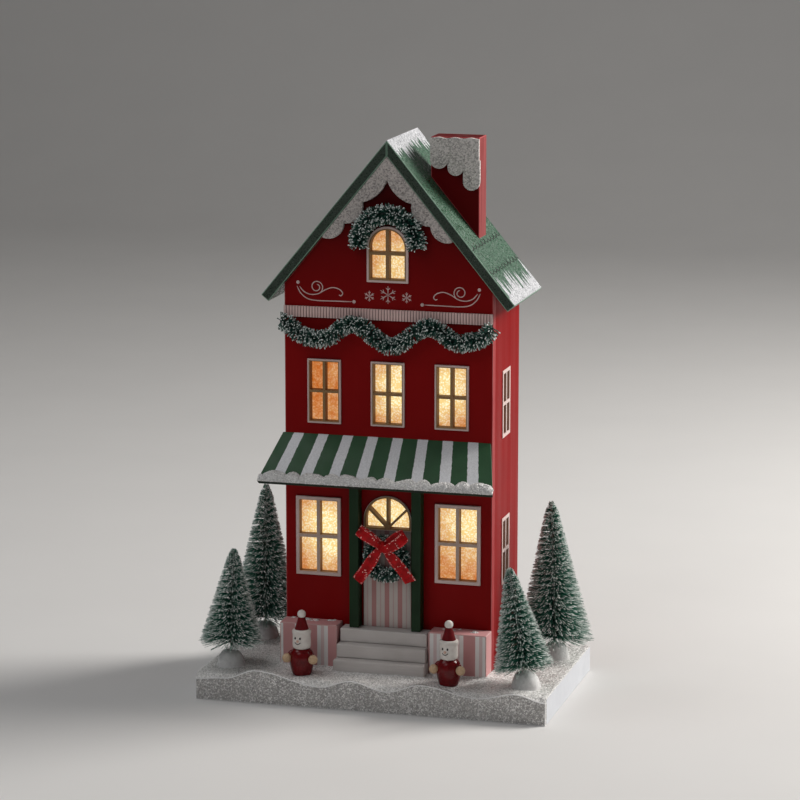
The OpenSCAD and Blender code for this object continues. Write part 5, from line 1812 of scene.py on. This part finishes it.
@dataclass
class RibbonBow:
    """The satin bow on the wreath: two loops, two tails and the knot."""

    width: float = 7.0
    thick: float = 0.35
    loops: tuple[Limb, ...] = (Limb(148.0, 17.4, 3.2, 0.1), Limb(33.0, 17.8, 6.0, 0.72, 0.95))
    tails: tuple[Limb, ...] = (Limb(236.0, 26.6, 0.05, 3.2), Limb(310.0, 28.0, 0.16, 0.6))
    knot_x: float = -0.8
    knot_z: float = 94.7
    knot_half: tuple[float, float, float] = (2.9, 2.3, 3.1)
    knot_out: float = 2.9
    soft: float = 0.7
    pleat: float = 0.2
    pleat_reach: float = 5.0
    loop_crown: float = 0.3
    tail_crown: float = 0.55
    off_back: float = 0.5

    def __post_init__(self) -> None:
        """Reads how far back the bow hangs."""
        self.mid = np.array([self.knot_x, Box.of("ribbon_bow").high[1], self.knot_z])

    def strip(self, along: Array, depth: Array, half: Array, angle: float, cut: float,
              crown: float) -> Surface:
        """A ribbon that leaves the knot at an angle in the front view.

        Args:
            along: Distance from the knot at each step.
            depth: Distance in front of the back plane at each step.
            half: Half the ribbon's width at each step.
            angle: The angle in degrees.
            cut: How far one edge runs past the other at the end, as a share of the width.
            crown: How far the ribbon's middle stands out past its edges.

        Returns:
            The sheet, with its length and its place across as layers.
        """
        way = np.array([np.cos(np.radians(angle)), 0.0, np.sin(np.radians(angle))])
        side = np.array([-way[2], 0.0, way[0]])
        v = np.linspace(-1, 1, 13)[None]
        last = np.linspace(0, 1, len(along))[:, None] ** 3
        far = along[:, None] + cut * self.width * v * last
        pleats = self.pleat * np.cos(3 * np.pi * v) * np.exp(-along[:, None] / self.pleat_reach)
        out = depth[:, None] + crown * (1 - v**2) + pleats
        points = self.mid + far[..., None] * way + (half[:, None] * v)[..., None] * side
        points[..., 1] -= out
        made = grid(points)
        steps = np.concatenate([[0], np.cumsum(np.hypot(np.diff(along), np.diff(depth)))])
        made.layers[ALONG] = np.broadcast_to(steps[:, None], out.shape).ravel()
        made.layers[LOT] = np.broadcast_to(v, out.shape).ravel()
        return made

    def loop(self, limb: Limb) -> Surface:
        """A teardrop loop: along = l (1 - cos t) / 2, depth = d (1 - sin t (sin t/2)^0.5) / 2.

        Args:
            limb: Its angle, length and shape.

        Returns:
            The loop's sheet.
        """
        t = np.linspace(0.12, TURN - 0.12, 72)
        along = limb.length * (1 - np.cos(t)) / 2
        depth = self.off_back + limb.shape / 2 * (1 - np.sin(t) * np.sin(t / 2) ** 0.5)
        half = limb.wide * self.width / 2 * (0.5 + 0.5 * np.sin(t / 2) ** 0.6)
        made = self.strip(along, depth, half, limb.angle, 0.0, self.loop_crown)
        made.points[:, 2] -= limb.sink * np.repeat(depth - self.off_back, len(made.points) // len(depth))
        return made

    def tail(self, limb: Limb) -> Surface:
        """A tail that falls off the knot, waves once and ends in a slanted cut.

        Args:
            limb: Its angle, length and shape.

        Returns:
            The tail's sheet.
        """
        along = np.linspace(0.3, limb.length, 48)
        share = along / limb.length
        fall = 2.4 * np.exp(-along / 3.5)
        depth = self.off_back + fall + 0.8 * np.sin(share * 4.6) ** 2 + limb.sink * share**3
        half = self.width / 2 * (0.5 + 0.5 * step_up(share, 0.0, 0.45))
        return self.strip(along, depth, half, limb.angle, limb.shape, self.tail_crown)

    def knot(self) -> Surface:
        """The knot: a soft block, |cos|^0.7 in each axis, with folds that run down its face.

        Returns:
            The closed knot.
        """
        slopes = np.linspace(-np.pi / 2, np.pi / 2, 22)[:, None]
        angles = np.linspace(0, TURN, 40, endpoint=False)[None]
        wide, deep, tall = (np.sign(c) * np.abs(c) ** self.soft
                            for c in (np.cos(angles), np.sin(angles), np.sin(slopes)))
        round_off = np.cos(slopes) ** self.soft
        x = self.knot_half[0] * round_off * wide
        y = self.knot_half[1] * round_off * deep * (1 + 0.12 * np.cos(5 * x))
        z = self.knot_half[2] * tall
        centre = self.mid - self.knot_out * BACK
        made = grid(centre + np.stack(np.broadcast_arrays(x, y, z), axis=-1), wrap_columns=True)
        made.layers = {ALONG: made.points[:, 2] - centre[2], LOT: (made.points[:, 0] - centre[0]) / 4.4}
        return made

    def build(self, shop: Workshop) -> None:
        """Adds the loops, tails and knot.

        Args:
            shop: The workshop.
        """
        strips = [self.loop(limb) for limb in self.loops] + [self.tail(limb) for limb in self.tails]
        sheets = shop.piece("bow_ribbons", join(strips), RIBBON, "ribbon", "ribbon_bow", solid=False)
        shop.thicken(sheets, self.thick)
        shop.piece("bow_knot", self.knot(), RIBBON, "ribbon")


@dataclass
class BrushTree:
    """A bottle-brush tree: bristles held by a twisted wire, in a round snow mound."""

    place: str
    reach: float
    lean: float
    count: int
    seed: int
    tip: float = 3.1
    pitch: float = 7.6
    bristle: tuple[float, ...] = (0.1, 0.12, 0.2)
    wire: float = 0.5
    gap: float = 2.5
    crown: float = 0.93
    crown_rise: float = 1.8
    crown_turn: float = 1.3
    crown_short: float = 0.3
    scatter: float = 0.68
    rise: Spot = (0.08, 0.035)
    sag: float = 0.1
    uneven: Spot = (0.92, 1.03)

    def __post_init__(self) -> None:
        """Reads where the tree stands and how tall it is."""
        self.mound = Box.of(f"tree_mound_{self.place}")
        brush = Box.of(f"tree_brush_{self.place}")
        angle = np.radians(self.lean)
        self.way = np.array([np.sin(angle), 0.0, np.cos(angle)])
        self.side = np.array([np.cos(angle), 0.0, -np.sin(angle)])
        self.foot = np.array([self.mound.mid[0], self.mound.mid[1], brush.low[2]])
        self.length = (brush.high[2] - brush.low[2]) / np.cos(angle) - self.crown_rise
        self.bare = self.mound.high[2] - brush.low[2] + self.gap

    def around(self, angle: Array) -> Array:
        """Directions square to the stem at some angles: cos a side + sin a back."""
        return np.cos(angle)[:, None] * self.side + np.sin(angle)[:, None] * BACK

    def bristles(self) -> Surface:
        """Bristles on two spirals: at height h they point to turn h / pitch and half a turn on.

        Returns:
            The bristles, each a closed strand, shorter towards the tip, where they turn upwards.
        """
        rng = np.random.default_rng(self.seed)
        share = (np.arange(self.count) + rng.uniform(0, 1, self.count)) / self.count
        height = self.bare + (self.length - self.bare) * share
        spiral = np.pi * rng.integers(0, 2, self.count)
        stray = rng.normal(0, self.scatter, self.count)
        flat = self.around(TURN * height / self.pitch + spiral + stray)
        top = np.clip((share - self.crown) / (1 - self.crown), 0, 1)
        rise = rng.normal(*self.rise, self.count) + self.crown_turn * top**2
        way = unit(flat + rise[:, None] * self.way)
        lengths = (self.reach + (self.tip - self.reach) * share) * rng.uniform(*self.uneven, self.count)
        lengths = lengths * (1 - self.crown_short * top)
        return strands(self.foot + height[:, None] * self.way, way, lengths, self.bristle, self.sag, rng)

    def stem(self) -> Surface:
        """Two wires wound round each other: offset r (cos a, sin a) with a = turn h / pitch.

        Returns:
            The closed wires.
        """
        height = np.linspace(0, self.length + 0.4, 260)
        wires = []
        for start in (0.0, np.pi):
            offset = self.around(TURN * height / self.pitch + start)
            path = self.foot + height[:, None] * self.way + 0.8 * self.wire * offset
            wires.append(sweep(path, oval(2 * self.wire, 2 * self.wire), (1, 0.2, 0)))
        return join(wires)

    def snow_mound(self) -> Surface:
        """The mound: a dome r sqrt(1 - s^2) that runs out into the snow at its foot, a little uneven.

        Returns:
            The closed mound.
        """
        radius, height = self.mound.size[0] / 2, self.mound.size[2]
        slopes = np.linspace(0, np.pi / 2, 26)
        radii = 0.96 * radius * np.cos(slopes) ** 0.74 + 0.5 * np.exp(-slopes / 0.1)
        heights = height * np.sin(slopes) * (0.94 + 0.06 * np.sin(slopes)) + 0.3
        base = np.array([self.mound.mid[0], self.mound.mid[1], self.mound.low[2]])
        radii = np.concatenate([[0.0], radii, [0.0]])
        made = lathe(radii, np.concatenate([[0.0], heights, heights[-1:]]), base, 56)
        out = made.points - base
        uneven = ripple(out[:, 0] + out[:, 2], out[:, 1], 11.0, self.seed)
        made.points = made.points + out * 0.03 * uneven[:, None]
        return made

    def build(self, shop: Workshop) -> None:
        """Adds the bristles, the stem and the mound.

        Args:
            shop: The workshop.
        """
        place = self.place
        shop.piece(f"bristles_{place}", self.bristles(), BRISTLE, "bristle", f"tree_brush_{place}")
        shop.piece(f"stem_{place}", self.stem(), STEM, "bristle")
        shop.piece(f"mound_{place}", self.snow_mound(), MOUND, "snow", f"tree_mound_{place}")


@dataclass
class PegFigures:
    """The two turned peg figures beside the steps."""

    body: tuple[Spot, ...] = ((0.66, 0), (0.82, 0.06), (0.97, 0.28), (1.04, 0.5), (1.05, 0.68), (0.94, 0.87),
                              (0.68, 1))
    head: tuple[Spot, ...] = ((0.74, 0), (0.9, 0.07), (0.96, 0.22), (0.95, 0.5), (0.95, 0.72), (1.0, 0.82),
                              (0.98, 0.94), (0.82, 1))
    cap: tuple[Spot, ...] = ((0.9, 0), (0.9, 0.04), (0.76, 0.3), (0.58, 0.66), (0.46, 0.93), (0.36, 1))
    hand_out: float = 8.25
    hand_front: float = 4.05
    hand_z: float = 26.9
    hand_r: float = 2.85
    shoulder_out: float = 4.8
    shoulder_front: float = 0.6
    shoulder_z: float = 30.3
    sleeve: float = 4.1
    lift: float = 1.6
    eye: float = 0.58
    eye_turn: float = 17.0
    eye_z: float = 0.6
    smile_turn: float = 20.0
    smile_z: float = 0.3
    smile_curve: float = 0.09
    smile_line: Spot = (0.55, 0.5)
    nose: float = 0.9
    nose_z: float = 0.45
    gaze: float = 259.0

    def turned(self, node: str, profile: Sequence[Spot], low: float, high: float) -> Surface:
        """Turns a smooth profile in a node's box.

        Args:
            node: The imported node.
            profile: Radii and heights, as shares of the box's half width and of the piece's height.
            low: How far the piece's lower end is lifted.
            high: How far its upper end is lifted.

        Returns:
            The closed turned piece.
        """
        box = Box.of(node)
        curve = spline(profile, 8)
        curve = np.vstack([[0.0, curve[0, 1]], curve, [0.0, curve[-1, 1]]])
        foot = np.array([box.mid[0], box.mid[1], box.low[2] + low])
        radii = np.maximum(curve[:, 0], 0) * box.size[0] / 2
        return lathe(radii, curve[:, 1] * (box.size[2] + high - low), foot)

    def on_head(self, node: str, angle: float, height: float) -> Array:
        """A point on a head at an angle in degrees and a share of its height.

        Args:
            node: The head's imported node.
            angle: The angle.
            height: The share.

        Returns:
            The point.
        """
        box = Box.of(node)
        turn = np.radians(angle)
        radius = box.size[0] / 2 * 0.95
        return np.array([box.mid[0] + radius * np.cos(turn), box.mid[1] + radius * np.sin(turn),
                         box.low[2] + self.lift + height * box.size[2]])

    def face(self, node: str) -> tuple[list[Surface], list[Surface]]:
        """A plain doll's face: two eyes, a round nose and a small smile.

        Args:
            node: The head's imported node.

        Returns:
            The dark dabs, and the skin-coloured ones.
        """
        size = np.array([self.eye, self.eye, self.eye * 1.3])
        eyes = [ball(self.on_head(node, self.gaze + turn, self.eye_z), size, 8, 12)
                for turn in (-self.eye_turn, self.eye_turn)]
        shares = np.linspace(-1, 1, 15)
        heights = self.smile_z + self.smile_curve * shares**2
        turns = self.gaze + self.smile_turn * shares
        smile = np.array([self.on_head(node, turn, height) for turn, height in zip(turns, heights)])
        nose = ball(self.on_head(node, self.gaze, self.nose_z), np.full(3, self.nose), 10, 14)
        return eyes + [sweep(smile, oval(*self.smile_line, 6), UP)], [nose]

    def reaches(self, out: float, front: float, z: float) -> list[Array]:
        """The four points at a distance out from the bodies' middles, on their left and right."""
        bodies = [Box.of(f"figure_{side.word}_body").mid for side in Side]
        return [np.array([mid[0] + turn * out, mid[1] - front, z]) for mid in bodies for turn in (-1, 1)]

    def arm(self, shoulder: Array, hand: Array) -> Surface:
        """A short arm from a shoulder towards a hand, rounded at both ends.

        Args:
            shoulder: Where it starts.
            hand: The hand's middle.

        Returns:
            The closed arm.
        """
        share = np.linspace(0, 1, 22)
        end = hand + 0.35 * (shoulder - hand)
        path = shoulder + share[:, None] * (end - shoulder)
        size = np.sqrt(np.maximum(1 - (2 * share - 1) ** 6, 0.02))
        return sweep(path, oval(self.sleeve, self.sleeve, 16), (0, 0.3, 1), scale=size)

    def build(self, shop: Workshop) -> None:
        """Turns and paints both figures.

        Args:
            shop: The workshop.
        """
        turnings = (("body", "peg", self.body, PEG_RED, "peg_red", 0.0, self.lift),
                    ("head", "bead", self.head, PEG_WHITE, "peg_cream", self.lift, self.lift),
                    ("cap", "cone", self.cap, PEG_CAP, "peg_red", self.lift, 0.0))
        dark, skin = [], []
        for side in Side:
            name = f"figure_{side.word}"
            for part, piece, profile, coat, slot, low, high in turnings:
                node = f"{name}_{part}"
                shop.piece(f"{name}_{piece}", self.turned(node, profile, low, high), coat, slot, node)
            inks, tints = self.face(f"{name}_head")
            dark += inks
            skin += tints
        shop.piece("peg_eyes_and_smiles", join(dark), PEG_INK, "peg_red")
        shop.piece("peg_noses", join(skin), PEG_FACE, "peg_cream")
        shoulders = self.reaches(self.shoulder_out, self.shoulder_front, self.shoulder_z)
        hands = self.reaches(self.hand_out, self.hand_front, self.hand_z)
        arms = [self.arm(shoulder, hand) for shoulder, hand in zip(shoulders, hands)]
        shop.piece("peg_arms", join(arms), PEG_RED, "peg_red", "figure_arms")
        beads = [ball(hand, np.full(3, self.hand_r), 18, 28) for hand in hands]
        shop.piece("peg_hands", join(beads), BEAD, "bare_wood", "figure_hands")
        tops = Box.of("figure_pompoms")
        heads = [Box.of(f"figure_{side.word}_cap").mid for side in Side]
        radius = tops.size[1] / 2
        balls = [ball(np.array([mid[0], mid[1], tops.high[2] - radius]), np.full(3, radius), 18, 28)
                 for mid in heads]
        shop.piece("peg_pompoms", join(balls), PEG_WHITE, "peg_cream", "figure_pompoms")


@dataclass
class LightString:
    """The wire, bulbs and pads behind the windows, and the battery box at the back."""

    slot_w: float = 0.7
    slot_h: float = 0.16
    slot_share: float = 0.62

    def screw_slots(self) -> Surface:
        """The screws' cross slots: two flat bars across each head, a share of its radius long.

        Returns:
            The closed bars.
        """
        box = Box.of("case_screws")
        radius = box.size[2] / 2
        bars = []
        for x in (box.low[0] + radius, box.high[0] - radius):
            centre = np.array([x, box.high[1], box.mid[2]])
            for way in np.array([[1.0, 0.0, 1.0], [1.0, 0.0, -1.0]]):
                reach = self.slot_share * radius * unit(way)
                path = centre + np.linspace(-1, 1, 5)[:, None] * reach
                bars.append(sweep(path, oval(self.slot_w, self.slot_h), BACK))
        return join(bars)

    def build(self, shop: Workshop) -> None:
        """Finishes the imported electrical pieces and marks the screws' slots.

        Args:
            shop: The workshop.
        """
        shop.dress(WIRE, None, "light_wire")
        shop.dress(BULB, None, "light_bulbs")
        shop.dress(SWITCH, None, "wire_pads")
        shop.dress(CASE, Ease.CRISP, "battery_case", "battery_cover")
        shop.dress(SWITCH, Ease.CRISP, "switch_slider")
        shop.dress(CELL, None, "battery_cells")
        shop.dress(STEEL, None, "battery_contacts", "case_screws")
        shop.piece("screw_slots", self.screw_slots(), CASE, "steel")


@dataclass
class Studio:
    """The floor, the lights and the camera."""

    camera_at: tuple[float, float, float] = (521.56, -1884.58, 565.11)
    camera_turn: tuple[float, float, float] = (78.834, 0.0, 15.394)
    lens: float = 147.72
    sensor: float = 36.0
    aim: tuple[float, float, float] = (0.0, 0.0, 150.0)
    sky: float = 0.1
    floor_near: float = -4000.0
    floor_half: float = 5000.0
    bend_at: float = 1800.0
    bend_r: float = 900.0
    wall_h: float = 4000.0
    lights: tuple[tuple[str, tuple[float, float, float], float, float, Color], ...] = (
        ("key", (1150.0, 640.0, 980.0), 800.0, 29.0, (1.0, 0.97, 0.93)),
        ("fill", (-460.0, -1120.0, 1180.0), 850.0, 2.95, (0.96, 0.98, 1.0)),
        ("rim", (-650.0, -80.0, 1250.0), 700.0, 3.0, (1.0, 1.0, 1.0)))

    def floor(self, shop: Workshop) -> None:
        """A floor that sweeps up into a backdrop: z = r - sqrt(r^2 - d^2) past the bend.

        Args:
            shop: The workshop.
        """
        run = np.linspace(0, np.pi / 2, 24)
        wall = self.bend_at + self.bend_r
        y = np.concatenate([[self.floor_near], self.bend_at + self.bend_r * np.sin(run), [wall]])
        z = np.concatenate([[0.0], self.bend_r - self.bend_r * np.cos(run), [self.wall_h]])
        x = np.linspace(-self.floor_half, self.floor_half, 3)
        points = np.stack(np.broadcast_arrays(x[None], y[:, None], z[:, None]), axis=-1)
        shop.mesh("studio_floor", grid(points), FLOOR, 60.0, False)

    def build(self, shop: Workshop) -> None:
        """Lays the floor, hangs the lights and sets the camera.

        Args:
            shop: The workshop.
        """
        self.floor(shop)
        scene = bpy.context.scene
        for name, at, size, power, tint in self.lights:
            lamp = bpy.data.lights.new(name, "AREA")
            lamp.shape = "DISK"
            lamp.size = size * MM
            lamp.energy = power
            lamp.color = tint
            hung = bpy.data.objects.new(name, lamp)
            hung.location = Vector(at) * MM
            hung.rotation_euler = (Vector(self.aim) - Vector(at)).to_track_quat("-Z", "Y").to_euler()
            scene.collection.objects.link(hung)
        world = bpy.data.worlds.new("studio")
        world.use_nodes = True
        world.node_tree.nodes["Background"].inputs["Color"].default_value = (1, 1, 1, 1)
        world.node_tree.nodes["Background"].inputs["Strength"].default_value = self.sky
        scene.world = world
        scene.view_settings.view_transform = "Standard"
        view = bpy.data.cameras.new("camera")
        view.lens = self.lens
        view.sensor_width = self.sensor
        view.sensor_fit = "HORIZONTAL"
        camera = bpy.data.objects.new("camera", view)
        camera.location = Vector(self.camera_at) * MM
        camera.rotation_euler = tuple(np.radians(self.camera_turn))
        scene.collection.objects.link(camera)
        scene.camera = camera


def trees() -> list[BrushTree]:
    """The four trees, the shorter pair in front."""
    return [BrushTree("front_left", 20.0, 2.2, 3900, 81, gap=5.0),
            BrushTree("front_right", 18.7, -9.0, 3800, 82),
            BrushTree("back_left", 23.0, 1.0, 5200, 83),
            BrushTree("back_right", 23.8, -2.0, 5200, 84)]


def main() -> None:
    """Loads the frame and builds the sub-assemblies in order."""
    logging.basicConfig(level=logging.INFO, format="%(name)s %(message)s")
    for leftover in list(bpy.data.objects):
        bpy.data.objects.remove(leftover)
    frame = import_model()
    shop = Workshop(frame["nodes"])
    parts: list[Any] = [Studio(), SnowyBase(), HouseShell(), Roof(), Porch(), Windows(), Garlands(),
                        RibbonBow(), *trees(), PegFigures(), LightString()]
    for part in parts:
        LOG.info("building %s", type(part).__name__)
        part.build(shop)


if __name__ == "__main__":
    main()
